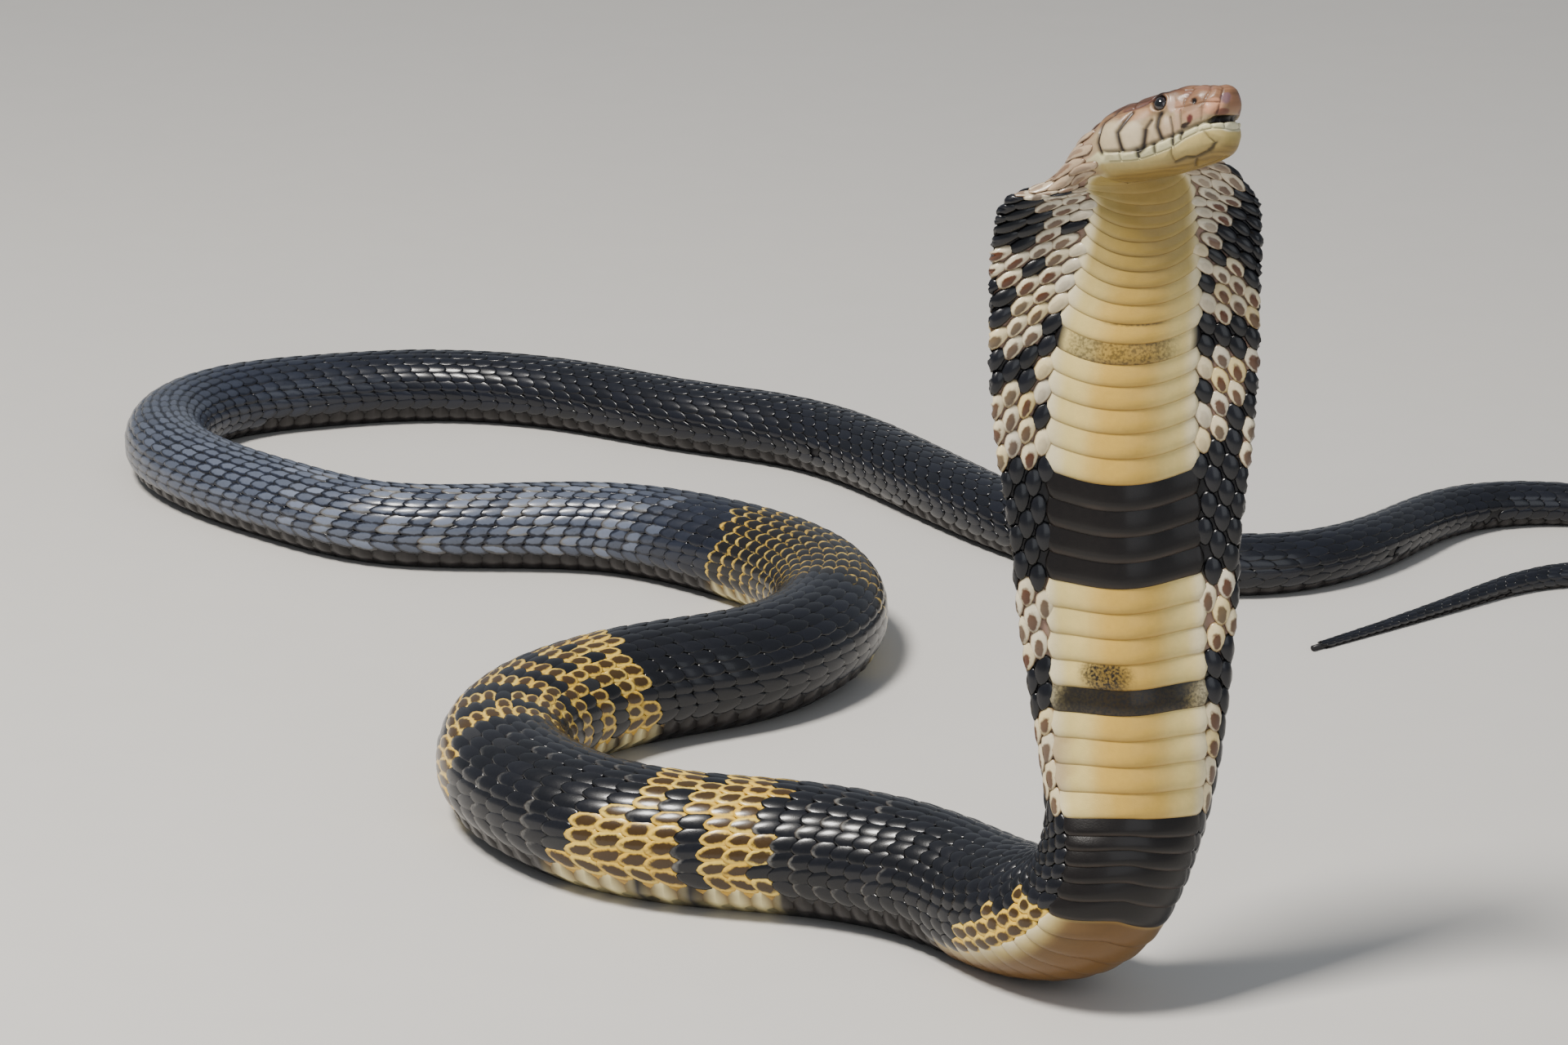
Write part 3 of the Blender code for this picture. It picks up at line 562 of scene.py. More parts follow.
def pale_share(reach, number, row, share):
    """How pale the coat is, from 0 where black to 1 where cream or yellow.

    The share runs from 0 beside the belly scutes to 1 in the middle of the back.
    """
    side = np.sign(row)
    rows = np.abs(row)
    pale = np.ones_like(reach)
    for patch_side, at, across, long, wide in HOOD_BLACK:
        away = ((number - at) / long) ** 2 + ((rows - across) / wide) ** 2
        pale = np.where((side == patch_side) & (away < 1.0), 0.0, pale)
    back_edge = read(HOOD_BACK, number) + 0.4 * np.sin(number * 1.9 + side) + (side > 0.0)
    pale = np.where(rows < back_edge, 0.0, pale)
    for first, last in RAISED_BANDS:
        pale = np.where((number > first - 0.3) & (number < last + 0.2), 0.0, pale)
    pale_rows = mix1(*COLUMN_PALE, smooth(*COLUMN_AT, reach))
    column = (reach > COLUMN_AT[0]) & (rows < read(SCALE_ROWS, reach) - pale_rows)
    pale = np.where(column, 0.0, pale)
    first, last, slant, top = HEEL_WEDGE
    wedge = (number > first) & (number < last - slant * share) & (share < top)
    pale = np.where((number > HEEL_FROM) & ~wedge, 0.0, pale)
    ground = np.zeros_like(reach)
    for first, last, further in GROUND_BANDS:
        ragged = 0.45 * wave(row * 1.7, reach * 0.2)
        end = last + further * (1.0 - smooth(0.1, 0.75, share))
        inside = stretch(first - 0.3, first + 0.3, end - 0.3, end + 0.3, reach + ragged)
        ground = np.maximum(ground, inside)
    for at, half in CROSSBARS:
        ragged = 0.3 * wave(row * 2.3, at)
        ground = ground * smooth(half * 0.6, half * 1.6, np.abs(reach - at + ragged))
    return np.where(reach > LAND, ground, pale)


# Looks of the plates

SKIN_SINK = 0.035
# The fold of soft skin between chin and throat: its height, where it lies, its
# width, and the places where it fades
THROAT_FILL = 0.09
FOLD_AT = 0.1
FOLD_WIDTH = 0.35
FOLD_FADE = (0.2, 0.45)
SCALE_HALF_LENGTH = ((0.0, 0.62), (3.6, 0.56), (12.0, 0.56), (20.0, 0.62), (32.0, 0.7))
SCALE_HALF_WIDTH = ((0.0, 0.62), (3.6, 0.62), (12.0, 0.61), (20.0, 0.64), (32.0, 0.66))
SCALE_DOME = ((0.0, 0.05), (4.0, 0.11), (14.0, 0.1), (24.0, 0.06), (34.0, 0.05), (170.0, 0.03))
SCALE_TILT = ((0.0, 0.05), (4.0, 0.04), (14.0, 0.045), (32.0, 0.065), (150.0, 0.055), (207.0, 0.02))
SCALE_THICKNESS = 0.03

# Edge of the lower lip's shields: run and place
LOWER_LIP_EDGE = (
    (0.3, 0.4), (1.0, 0.4), (1.6, 0.4), (2.2, 0.405), (2.45, 0.42), (2.75, 0.445),
    (3.1, 0.45), (3.5, 0.435), (4.0, 0.4),
)
# Head shields, on one side: half width and darkness of a seam, then runs and places
SEAMS = (
    (0.055, 1.0, (0.75, 0.86), (0.49, 0.77), (0.19, 0.73), (0.13, 0.63), (0.05, 0.557), (0.12, 0.49)),
    (0.062, 1.0, (1.22, 0.743), (0.97, 0.66), (0.8, 0.61), (0.84, 0.547), (0.88, 0.507)),
    (0.04, 0.9, (1.85, 0.637), (1.67, 0.593)),
    (0.068, 1.0, (1.67, 0.593), (1.62, 0.55), (1.54, 0.503), (1.38, 0.475)),
    (0.06, 1.0, (2.15, 0.663), (2.06, 0.633), (2.01, 0.577), (2.07, 0.527), (2.1, 0.51)),
    (0.03, 0.8, (2.41, 0.613), (2.46, 0.543), (2.45, 0.503)),
    (0.022, 0.5, (2.75, 0.64), (2.74, 0.56), (2.72, 0.51)),
    (0.02, 0.45, (3.24, 0.66), (3.2, 0.58), (3.22, 0.52)),
    (0.02, 0.45, (3.62, 0.64), (3.58, 0.53)),
    (0.02, 0.45, (3.62, 1.0), (3.7, 0.86), (3.66, 0.75), (3.62, 0.64)),
    (0.02, 0.45, (3.36, 1.0), (3.33, 0.87), (3.35, 0.8), (3.3, 0.74), (3.24, 0.66)),
    (0.02, 0.45, (2.98, 1.0), (2.92, 0.925), (3.0, 0.86), (2.95, 0.78), (2.85, 0.66)),
    (0.02, 0.45, (2.92, 0.925), (2.3, 0.925), (2.12, 1.0)),
    (0.02, 0.45, (2.3, 0.925), (2.25, 0.86)),
    (0.02, 0.45, (3.0, 0.86), (2.8, 0.85)),
    (0.02, 0.45, (0.95, 1.0), (1.0, 0.93), (1.2, 0.87), (1.6, 0.84), (2.15, 0.855), (2.25, 0.86)),
    (0.02, 0.45, (3.36, 1.0), (3.62, 1.0)),
    (0.02, 0.45, (2.98, 1.0), (3.36, 1.0)),
    (0.02, 0.45, (0.95, 1.0), (2.12, 1.0)),
    (0.02, 0.35, (3.6, 0.64), (3.24, 0.66), (2.85, 0.66), (2.6, 0.665)),
    (0.022, 0.5, (2.05, 0.78), (1.69, 0.8), (1.22, 0.79), (0.49, 0.77)),
    (0.02, 0.4, (1.2, 0.87), (1.22, 0.79)),
    (0.018, 0.3, *LOWER_LIP_EDGE),
    (0.05, 0.8, (3.42, 0.293), (3.3, 0.25), (3.17, 0.23)),
    (0.04, 0.7, (3.17, 0.23), (2.83, 0.207), (2.57, 0.253), (2.15, 0.227)),
    (0.026, 0.4, (3.42, 0.293), (3.3, 0.36), (3.2, 0.45)),
    (0.034, 0.6, (2.83, 0.207), (2.46, 0.05)),
    (0.022, 0.35, (2.15, 0.227), (2.2, 0.33), (2.3, 0.41)),
    (0.022, 0.35, (1.9, 0.0), (3.5, 0.0)),
)
# Seams across the lower lip: half width, darkness, run at the mouth
LOWER_LIP_SEAMS = (
    (0.024, 0.5, 0.75), (0.058, 1.0, 1.34), (0.045, 0.9, 1.84), (0.05, 1.0, 2.42),
    (0.042, 0.9, 2.68), (0.028, 0.45, 3.12), (0.028, 0.5, 3.47), (0.024, 0.4, 3.82),
)
LOWER_LIP_SLANT = 0.05
SEAM_DEPTH = 0.04
SHIELD_PILLOW = 0.045
PILLOW_WIDTH = 0.17
# The line of the mouth, and the notch of the tongue where it gapes at the front
MOUTH_WIDTH = (0.01, 0.021)
MOUTH_DEPTH = (0.07, 0.15)
MOUTH_GAPE = (3.35, 3.62)
MOUTH_FROM = (0.05, 0.4)

# Colours of the head above the mouth: the places where each begins and is full
HEAD_TINTS = (
    (0.49, 0.51, (162, 142, 110)), (0.62, 0.72, (128, 98, 70)), (0.76, 0.84, (78, 52, 40)),
)
# Colour patches of the head: run, place, half run, half place, colour, strength
HEAD_PATCHES = (
    (0.55, 0.6, 0.45, 0.12, (182, 166, 134), 0.85),
    (1.22, 0.58, 0.36, 0.1, (188, 172, 142), 0.85),
    (1.86, 0.56, 0.22, 0.07, (174, 154, 122), 0.8),
    (2.3, 0.56, 0.22, 0.07, (172, 148, 120), 0.8),
    (2.6, 0.57, 0.12, 0.06, (164, 136, 112), 0.7),
    (1.45, 0.71, 0.55, 0.045, (160, 124, 92), 0.8),
    (1.25, 0.79, 0.45, 0.028, (92, 58, 48), 0.85),
    (1.7, 0.815, 0.3, 0.024, (88, 54, 46), 0.8),
    (1.93, 0.745, 0.13, 0.05, (186, 158, 132), 0.85),
    (2.47, 0.71, 0.13, 0.07, (176, 150, 134), 0.85),
    (2.7, 0.67, 0.15, 0.06, (168, 128, 104), 0.7),
    # painted shadow of the brow over the eye
    (2.1, 0.855, 0.42, 0.045, (34, 23, 20), 0.95),
    (3.1, 0.575, 0.32, 0.04, (170, 132, 106), 0.7),
    (2.97, 0.552, 0.06, 0.032, (80, 30, 30), 0.95),
    (2.84, 0.527, 0.14, 0.016, (24, 13, 13), 0.95),
    (2.72, 0.492, 0.07, 0.016, (24, 13, 13), 0.95),
    (3.47, 0.62, 0.24, 0.08, (200, 144, 112), 0.75),
    (3.76, 0.69, 0.16, 0.07, (112, 86, 100), 0.7),
    (3.7, 0.55, 0.2, 0.03, (104, 54, 46), 0.8),
    (3.95, 0.62, 0.1, 0.1, (156, 112, 84), 0.6),
    (3.04, 0.693, 0.055, 0.03, (24, 13, 13), 1.0),
    (2.9, 0.8, 0.1, 0.05, (112, 76, 66), 0.6),
    (3.25, 0.86, 0.2, 0.05, (128, 90, 78), 0.5),
    (3.9, 0.43, 0.22, 0.05, (216, 210, 178), 0.8),
)
NOSTRIL_SIZE = 0.075
NOSTRIL_DEPTH = 0.09
EYE_AXIS = (0.12, 0.9, 0.34)
EYE_OPENING = 0.245
SOCKET_DEPTH = 0.2
# Edge of the socket and middle of its rim, as shares of the opening
SOCKET_EDGE = (0.86, 1.04)
RIM_AT = 1.22
RIM_WIDTH = 0.055
RIM_HEIGHT = 0.035

# Points of the skin along the body and around it, on either side of the place
# where its two stretches meet
HEAD_ROWS = 210
HEAD_AROUND = 264
BODY_ROWS = 400
BODY_AROUND = 76
HEAD_SKIN_END = 1.6
SKIN_STRETCH_GAP = 0.06
# Stations of the skin on the head, on the raised part and on the ground
HEAD_STATIONS = 401
RAISED_STATIONS = 120
GROUND_STATIONS = 281


def made_mesh(data, name):
    """New mesh from edited shapes, which are freed."""
    mesh = bpy.data.meshes.new(name)
    data.to_mesh(mesh)
    data.free()
    return mesh


def flat_grid(name, along, around, size=1.0):
    """Mesh of a square grid, from -size to size."""
    data = bmesh.new()
    bmesh.ops.create_grid(data, x_segments=along, y_segments=around, size=size)
    return made_mesh(data, name)


def corners(mesh):
    points = np.empty(len(mesh.vertices) * 3)
    mesh.vertices.foreach_get("co", points)
    return points.reshape(-1, 3)


def place_points(mesh, points):
    """Move the vertices to points in centimetres on the route."""
    moved = (points - np.array([ORIGIN[0], ORIGIN[1], 0.0])) * CM
    mesh.vertices.foreach_set("co", moved.astype(np.float32).ravel())
    mesh.update()


def lay(mesh, reach, place, sign, lift):
    """Move the vertices to the body's surface, lifted along its normals."""
    points = surface(reach, place, sign) + lift[:, None] * outward(reach, place, sign)
    points[:, 2] = np.maximum(points[:, 2], 0.0)
    place_points(mesh, points)


def give_colour(mesh, name, values):
    layer = mesh.attributes.new(name, "FLOAT_COLOR", "POINT")
    rgba = np.ones((len(mesh.vertices), 4), np.float32)
    rgba[:, : values.shape[1]] = values
    layer.data.foreach_set("color", rgba.ravel())


def give_map(mesh, name, places):
    """UV map from one place for each corner of each face."""
    layer = mesh.uv_layers.new(name=name)
    layer.uv.foreach_set("vector", places.astype(np.float32).ravel())


def corner_vertices(mesh):
    index = np.empty(len(mesh.loops), np.int32)
    mesh.loops.foreach_get("vertex_index", index)
    return index


def finished(name, mesh, material):
    """Object of a finished mesh, riding on the one body."""
    mesh.shade_smooth()
    mesh.materials.append(material)
    piece = bpy.data.objects.new(name, mesh)
    bpy.context.scene.collection.objects.link(piece)
    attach(piece, "root")
    return piece


def seam_points():
    """Search tree of points along the seams, and the width and darkness of each."""
    lines = list(SEAMS)
    for width, darkness, run in LOWER_LIP_SEAMS:
        low = run - LOWER_LIP_SLANT
        lines.append((width, darkness, (run, 0.497), (low, float(read(LOWER_LIP_EDGE, low)))))
    runs = []
    places = []
    kinds = []
    share = np.linspace(0.0, 1.0, 40)
    for width, darkness, *line in lines:
        for first, second in zip(line, line[1:]):
            runs.append(first[0] + share * (second[0] - first[0]))
            places.append(first[1] + share * (second[1] - first[1]))
            kinds.append(np.tile((width, darkness), (len(share), 1)))
    points = np.stack(head_point(np.concatenate(runs), np.concatenate(places)), 1)
    tree = KDTree(len(points))
    for number, point in enumerate(points):
        tree.insert(point, number)
    tree.balance()
    return tree, np.concatenate(kinds)


def head_relief(run, place):
    """Darkness of the seams, painted shade of the mouth and of holes, and how far skin stands out."""
    ahead, side, height = head_point(run, place)
    here = np.stack([ahead, side, height], 1)
    tree, kinds = seam_points()
    found = [tree.find(point) for point in here]
    away = np.array([item[2] for item in found])
    width, darkness = kinds[[item[1] for item in found]].T
    inside = smooth(-0.3, 0.1, run)
    groove = np.exp(-((away / width) ** 2)) * inside
    pillow = (1.0 - np.exp(-((away / PILLOW_WIDTH) ** 2))) * inside
    gape = smooth(*MOUTH_GAPE, run)
    mouth_width = mix1(*MOUTH_WIDTH, gape)
    mouth = np.exp(-(((place - 0.5) / mouth_width) ** 4)) * smooth(*MOUTH_FROM, ahead)
    out = SHIELD_PILLOW * pillow - SEAM_DEPTH * groove - mix1(*MOUTH_DEPTH, gape) * mouth
    axis = unit(np.array(EYE_AXIS))
    offset = here - np.array(EYE_AT)
    depth = offset @ axis
    away_from_eye = np.linalg.norm(offset - depth[:, None] * axis, axis=1)
    away_from_eye = np.where(depth > -EYE_RADIUS, away_from_eye, 9.0)
    cup = 1.0 - smooth(*SOCKET_EDGE, away_from_eye / EYE_OPENING)
    rim = np.exp(-(((away_from_eye - EYE_OPENING * RIM_AT) / RIM_WIDTH) ** 2))
    nostril = np.exp(-((np.linalg.norm(here - np.array(NOSTRIL_AT), axis=1) / NOSTRIL_SIZE) ** 2))
    out = out * (1.0 - cup) - SOCKET_DEPTH * cup + RIM_HEIGHT * rim - NOSTRIL_DEPTH * nostril
    hole = np.clip(mouth * (0.55 + 0.45 * gape) + cup + 0.9 * nostril, 0.0, 1.0)
    return np.sqrt(groove) * darkness, hole, out


def head_tint(run, place, seam, hole):
    """Colour of the head's shields, with their seams and painted shade in their openings."""
    edge = read(LOWER_LIP_EDGE, run)
    mottle = wave(run * 5.0, place * 40.0)
    tint = mix(linear(150, 124, 66), linear(120, 98, 54), 0.5 + 0.5 * mottle)
    tint = mix(tint, linear(184, 164, 104), smooth(0.16, 0.38, place))
    tint = mix(tint, linear(220, 212, 166), smooth(-0.035, 0.015, place - edge))
    for low, high, colour in HEAD_TINTS:
        tint = mix(tint, linear(*colour), smooth(low, high, place))
    snout = smooth(2.5, 2.95, run) * smooth(0.5, 0.62, place)
    tint = mix(tint, linear(128, 92, 68), 0.85 * snout)
    tint = tint * (1.0 + 0.2 * mottle[..., None] * smooth(0.5, 0.8, place)[..., None])
    for at, round_at, long, wide, colour, strength in HEAD_PATCHES:
        ragged = 0.16 * wave(run * 9.0 + at, place * 70.0)
        near = ((run - at) / long) ** 2 + ((place - round_at) / wide) ** 2 + ragged
        tint = mix(tint, linear(*colour), strength * (1.0 - smooth(0.5, 1.3, near)))
    tint = mix(tint, linear(26, 16, 14), seam)
    # painted shade in the mouth, the eye sockets and the nostrils
    return mix(tint, linear(18, 9, 9), hole)


def skin_tint(reach, place, sign):
    """Bare skin between the scales."""
    number = np.interp(reach, STATIONS, NUMBERS)
    share = (place - BELLY_PART) / (1.0 - BELLY_PART)
    row = sign * (1.0 - share) * read(SCALE_ROWS, reach)
    pale = pale_share(reach, number, row, share)
    base = mix(linear(24, 23, 26), linear(148, 120, 104), pale)
    base = mix(base, linear(196, 154, 56), pale * smooth(24.0, 28.0, reach))
    belly = 1.0 - smooth(-0.02, 0.02, share)
    shade = mix1(0.9, 0.35, smooth(0.5, 2.0, reach))[:, None]
    return mix(base, shade * belly_tint(number, place / BELLY_PART * sign), belly)


# The unwrap: where a part ends along the body, its lower edge and its height,
# and for the body the number of rows, the lowest edge, the step and the height
HEAD_MAP = (1.0, 0.62, 0.36)
HOOD_MAP = (20.0, 0.4, 0.2)
BODY_MAP = (3, 0.01, 0.125, 0.115)
MAP_EDGE = 0.02
MAP_ACROSS = 0.96


def skin_map(along, around):
    """Place on the folded unwrap: the head, the hood, then three rows of body."""
    head_end, head_low, head_high = HEAD_MAP
    hood_end, hood_low, hood_high = HOOD_MAP
    rows, low, step, high = BODY_MAP
    body = along >= hood_end
    fold = np.clip((along - hood_end) / (LENGTH + 0.01 - hood_end) * rows, 0.0, rows - 0.001)
    row = np.floor(fold)
    u = MAP_EDGE + MAP_ACROSS * np.where(body, fold - row, around)
    on_head = head_low + head_high * (along + HEAD_LENGTH) / (head_end + HEAD_LENGTH)
    on_hood = hood_low + hood_high * (along - head_end) / (hood_end - head_end)
    v = np.where(along < head_end, on_head, on_hood)
    return u, np.where(body, low + row * step + high * around, v)


def skin_patch(name, rows, around, stations):
    """Stretch of skin over given stations, with what lies on each vertex."""
    mesh = flat_grid(name, rows, around)
    flat = corners(mesh)
    reach = np.interp((flat[:, 0] + 1.0) * 0.5, np.linspace(0.0, 1.0, len(stations)), stations)
    turn = flat[:, 1]
    place = 1.0 - np.abs(turn)
    sign = np.where(turn < 0.0, -1.0, 1.0)
    sink = SKIN_SINK * smooth(-0.3, 0.6, reach)
    tint = skin_tint(np.maximum(reach, 0.0), place, sign)
    head = reach < 0.6
    if head.any():
        seam, hole, out = head_relief(-reach[head], place[head])
        fold = np.exp(-(((reach[head] - FOLD_AT) / FOLD_WIDTH) ** 2))
        fold = fold * (1.0 - smooth(*FOLD_FADE, place[head]))
        sink[head] = sink[head] - out * (1.0 - smooth(0.0, 0.5, reach[head])) - THROAT_FILL * fold
        fade = smooth(0.0, 0.6, reach[head])
        tint[head] = mix(head_tint(-reach[head], place[head], seam, hole), tint[head], fade)
    lay(mesh, reach, place, sign, -sink)
    vertex = corner_vertices(mesh)
    u, v = skin_map(reach, (turn + 1.0) * 0.5)
    give_map(mesh, "OFBake", np.stack([u[vertex], v[vertex]], 1))
    give_colour(mesh, "tint", tint)
    give_colour(mesh, "marks", np.zeros_like(tint))
    return mesh


def join_skin(head, body):
    """Weld the two stretches and bridge them into one closed surface."""
    data = bmesh.new()
    data.from_mesh(head)
    data.from_mesh(body)
    bmesh.ops.remove_doubles(data, verts=data.verts, dist=0.00002)
    tip = Vector(POINTS[-1] - np.array([ORIGIN[0], ORIGIN[1], 0.0])) * CM
    open_edges = [edge for edge in data.edges if edge.is_boundary]
    at_tip = [edge for edge in open_edges if (edge.verts[0].co - tip).length < 0.005]
    joint = [edge for edge in open_edges if edge not in at_tip]
    bmesh.ops.holes_fill(data, edges=at_tip, sides=0)
    bmesh.ops.bridge_loops(data, edges=joint)
    bmesh.ops.recalc_face_normals(data, faces=data.faces)
    bpy.data.meshes.remove(head)
    bpy.data.meshes.remove(body)
    return made_mesh(data, "cobra_skin")


# Belly scutes

SCUTE_BACK = 0.12
SCUTE_FRONT = 0.1
SCUTE_ROUND_FROM = 0.86
SCUTE_ROUNDING = 3.0
RAISED_SCUTES = 48
# Points of one scute along the body and across it
RAISED_GRID = (8, 40)
GROUND_GRID = (2, 6)
# Columns in which the scutes lie on their map
SCUTES_ABREAST = 3
SCUTE_HEIGHT = ((0.0, 0.06), (4.0, 0.085), (20.0, 0.11), (26.0, 0.07), (171.0, 0.05), (207.0, 0.02))
# How far round the scutes reach, as a share of the place where the belly ends
SCUTE_REACH = ((0.0, 1.03), (25.0, 1.03), (31.0, 1.42), (171.0, 1.42), (207.0, 1.2))
DARK_SCUTES = ((19.0, 23.0), (27.0, 28.0), (32.0, 38.0))


def belly_specks(number, across):
    """How thickly a belly scute is speckled with black."""
    index = np.floor(number)
    within = number - index
    dusky = (index == 13) * (1.0 - smooth(0.5, 0.9, np.abs(across + 0.1)))
    streak = (index == 12) * (1.0 - smooth(0.05, 0.2, within))
    streak = streak * (1.0 - smooth(0.2, 0.6, np.abs(across - 0.05)))
    spot = np.hypot((across + 0.28) / 0.36, (within - 0.5) / 0.8)
    blotch = (index == 26) * (1.0 - smooth(0.5, 1.1, spot))
    smoky = (index == 27) * (1.0 - 0.5 * smooth(0.5, 1.0, np.abs(across)))
    return np.maximum.reduce([0.6 * dusky, 0.8 * streak, blotch, smoky])


def belly_tint(number, across):
    """Colour of a belly scute: across runs from -1 on the right to 1 on the left."""
    index = np.floor(number)
    within = number - index
    reach = reach_of(number)
    side = np.abs(across)
    wobble = 0.07 * wave(index * 1.7, across * 3.0)
    pale_end = smooth(0.74, 0.98, side + wobble)
    tint = mix(linear(202, 164, 76), linear(216, 194, 124), smooth(0.2, 0.7, side + wobble))
    tint = mix(tint, linear(220, 208, 170), pale_end)
    # painted shadow of the head: the throat scutes are darkened to olive, except at their pale ends
    throat = 1.0 - smooth(8.0, 13.0, number)
    tint = mix(tint, linear(142, 120, 62), 0.8 * throat * (1.0 - pale_end))
    cloudy = wave(across * 5.0 + index, number * 2.0)
    tint = tint * (1.0 + 0.05 * cloudy[..., None])
    black = np.zeros_like(number)
    for first, last in DARK_SCUTES:
        black = np.where((index >= first) & (index < last), 1.0, black)
    black = black * (1.0 - (index == 27) * (0.03 + 0.5 * smooth(0.65, 1.05, side + 0.15 * cloudy)))
    ends = (index == 13) * smooth(0.84, 0.94, side)
    black = np.maximum.reduce([black, 0.65 * belly_specks(number, across), ends])
    brown = ((index == 29) | (index == 30)) * smooth(0.55, 1.0, 0.15 * cloudy - across)
    tint = mix(tint, linear(120, 78, 44), 0.5 * brown)
    # ochre is the heel scutes' own colour; darkening them to brown, except at their right-hand ends, is
    # painted shade
    heel = smooth(37.8, 38.2, number)
    tint = mix(tint, linear(94, 62, 30), 0.92 * heel * (1.0 - smooth(0.6, 0.98, -across)))
    rear_edge = smooth(0.93, 0.99, within) * (0.6 + 0.4 * cloudy)
    dark = mix(linear(18, 14, 13), linear(84, 68, 56), 0.55 * rear_edge)
    tint = mix(tint, dark, black)
    ground = smooth(28.6, 30.0, reach)
    row = np.where(across < 0.0, -1.0, 1.0)
    pale = pale_share(reach, number, row * read(SCALE_ROWS, reach), np.zeros_like(reach))
    under = mix(linear(40, 36, 36), linear(226, 214, 160), pale)
    return mix(tint, under, ground)


def plate_grid(name, along, across):
    """Closed flat plate: its corners are at -1 and 1, its top at 1 and foot at 0."""
    data = bmesh.new()
    bmesh.ops.create_grid(data, x_segments=along, y_segments=across, size=1.0)
    raised = bmesh.ops.extrude_face_region(data, geom=data.faces[:], use_keep_orig=True)
    top = [item for item in raised["geom"] if isinstance(item, bmesh.types.BMVert)]
    bmesh.ops.translate(data, verts=top, vec=(0.0, 0.0, 1.0))
    bmesh.ops.recalc_face_normals(data, faces=data.faces)
    return made_mesh(data, name)


def repeated(name, template, count):
    """Mesh of a row of copies of the template, made by an Array modifier."""
    row = bpy.data.objects.new(name, template)
    bpy.context.scene.collection.objects.link(row)
    array = row.modifiers.new("copies", "ARRAY")
    array.use_relative_offset = False
    array.use_constant_offset = True
    array.constant_offset_displace = (0.0, 0.0, 0.0)
    array.count = count
    graph = bpy.context.evaluated_depsgraph_get()
    mesh = bpy.data.meshes.new_from_object(row.evaluated_get(graph))
    bpy.data.objects.remove(row)
    mesh.name = name
    return mesh


def build_scutes(name, first, last, grid, material):
    """Belly scutes numbered from first up to last, as puffed plates."""
    template = plate_grid(name + "_template", *grid)
    count = last - first
    local = corners(template)
    mesh = repeated(name, template, count)
    index = np.repeat(np.arange(first, last), len(local))
    a, b, top = np.tile(local, (count, 1)).T
    # the sides come in, so that the ends of each scute are round
    past = np.clip((np.abs(b) - SCUTE_ROUND_FROM) / (1.0 - SCUTE_ROUND_FROM), 0.0, 1.0)
    narrow = (1.0 - past**SCUTE_ROUNDING) ** 0.5
    half = 0.5 * (1.0 + SCUTE_BACK + SCUTE_FRONT)
    middle = 0.5 + 0.5 * (SCUTE_BACK - SCUTE_FRONT)
    number = index + middle + half * a * (0.25 + 0.75 * narrow)
    reach = reach_of(number)
    place = b * BELLY_PART * read(SCUTE_REACH, reach)
    sign = np.ones_like(place)
    throat = smooth(0.5, 5.0, number)
    height = read(SCUTE_HEIGHT, reach) * props().scute_height * throat
    shape = (1.0 - np.abs(a) ** 4) * (0.35 + 0.65 * smooth(-1.0, 0.6, a)) * (0.55 + 0.45 * narrow)
    lift = np.where(top > 0.5, height * shape + 0.012, -SKIN_SINK - 0.01)
    lay(mesh, reach, place, sign, lift)
    inside = np.clip(number, index + 0.001, index + 0.999)
    give_colour(mesh, "tint", belly_tint(inside, b))
    # painted shade in the seams: the ends of each scute and its sides and foot are darkened
    edge = (smooth(0.72, 1.0, np.abs(a)) * (top > 0.5) + (top < 0.5)) * (0.3 + 0.7 * throat)
    specks = belly_specks(inside, b)
    give_colour(mesh, "marks", np.stack([edge, np.zeros_like(edge), specks], 1))
    vertex = corner_vertices(mesh)
    rows = math.ceil(count / SCUTES_ABREAST)
    u = ((index - first) % SCUTES_ABREAST + 0.5 + 0.47 * b) / SCUTES_ABREAST
    strip = (index - first) // SCUTES_ABREAST + 0.25 + np.where(top > 0.5, 0.25 * a, 0.5 + 0.02 * a)
    give_map(mesh, "OFBake", np.stack([u[vertex], 0.005 + 0.99 * strip[vertex] / rows], 1))
    bpy.data.meshes.remove(template)
    return finished(name, mesh, material)


# Scales

# Rows on one side, with the middle one: those of the back, and all of them
BACK_ROWS = 5
MOST_ROWS = 13
SCALE_SEGMENTS = 12
SCALE_INSETS = (0.17, 0.34)
COAT_PATCH = 0.003
FIRST_SCALE = 1
SCALE_TAPER = 0.12
# How close to the ends of the belly scutes the lowest row of scales may come
ROW_MARGIN = ((0.0, 0.1), (25.0, 0.1), (31.0, 0.6), (207.0, 0.6))
# How far the tip of a scale is turned toward the belly, in rows, by distance
SCALE_TURN = ((0.0, -0.05), (3.0, -0.2), (24.0, -0.18), (32.0, 0.2), (170.0, 0.12))
LOW_SCALE_TURN = -0.3
# Scutes over which the browner colours of the neck end, and distances over which
# cream turns to yellow
NECK_SCALES = (1.5, 5.0)
CREAM_END = (21.5, 23.0)
# Where single black scales have a pale rim: begins, full, fades and ends
FLECKED = ((31.0, 33.0, 37.0, 60.0), (80.0, 86.0, 95.0, 99.0))
# Where the black scales get a paler, bluish middle: painted sheen in place of the gloss highlight on
# each scale
PAINTED_SHEEN_SPAN = (78.0, 86.0, 100.0, 128.0)
# The third yellow band has dark scales with pale tips
DARK_TIPPED = (68.0, 80.0)


def scale_template():
    """One scale: a closed disc with two insets and a middle, of radius 1."""
    data = bmesh.new()
    bmesh.ops.create_cone(
        data, cap_ends=True, segments=SCALE_SEGMENTS, radius1=1.0, radius2=1.0, depth=1.0)
    top = max(data.faces, key=lambda face: face.calc_center_median().z)
    for width in SCALE_INSETS:
        bmesh.ops.inset_individual(data, faces=[top], thickness=width, use_even_offset=True)
    bmesh.ops.poke(data, faces=[top])
    bmesh.ops.translate(data, verts=data.verts, vec=(0.0, 0.0, 0.5))
    return made_mesh(data, "scale_template")


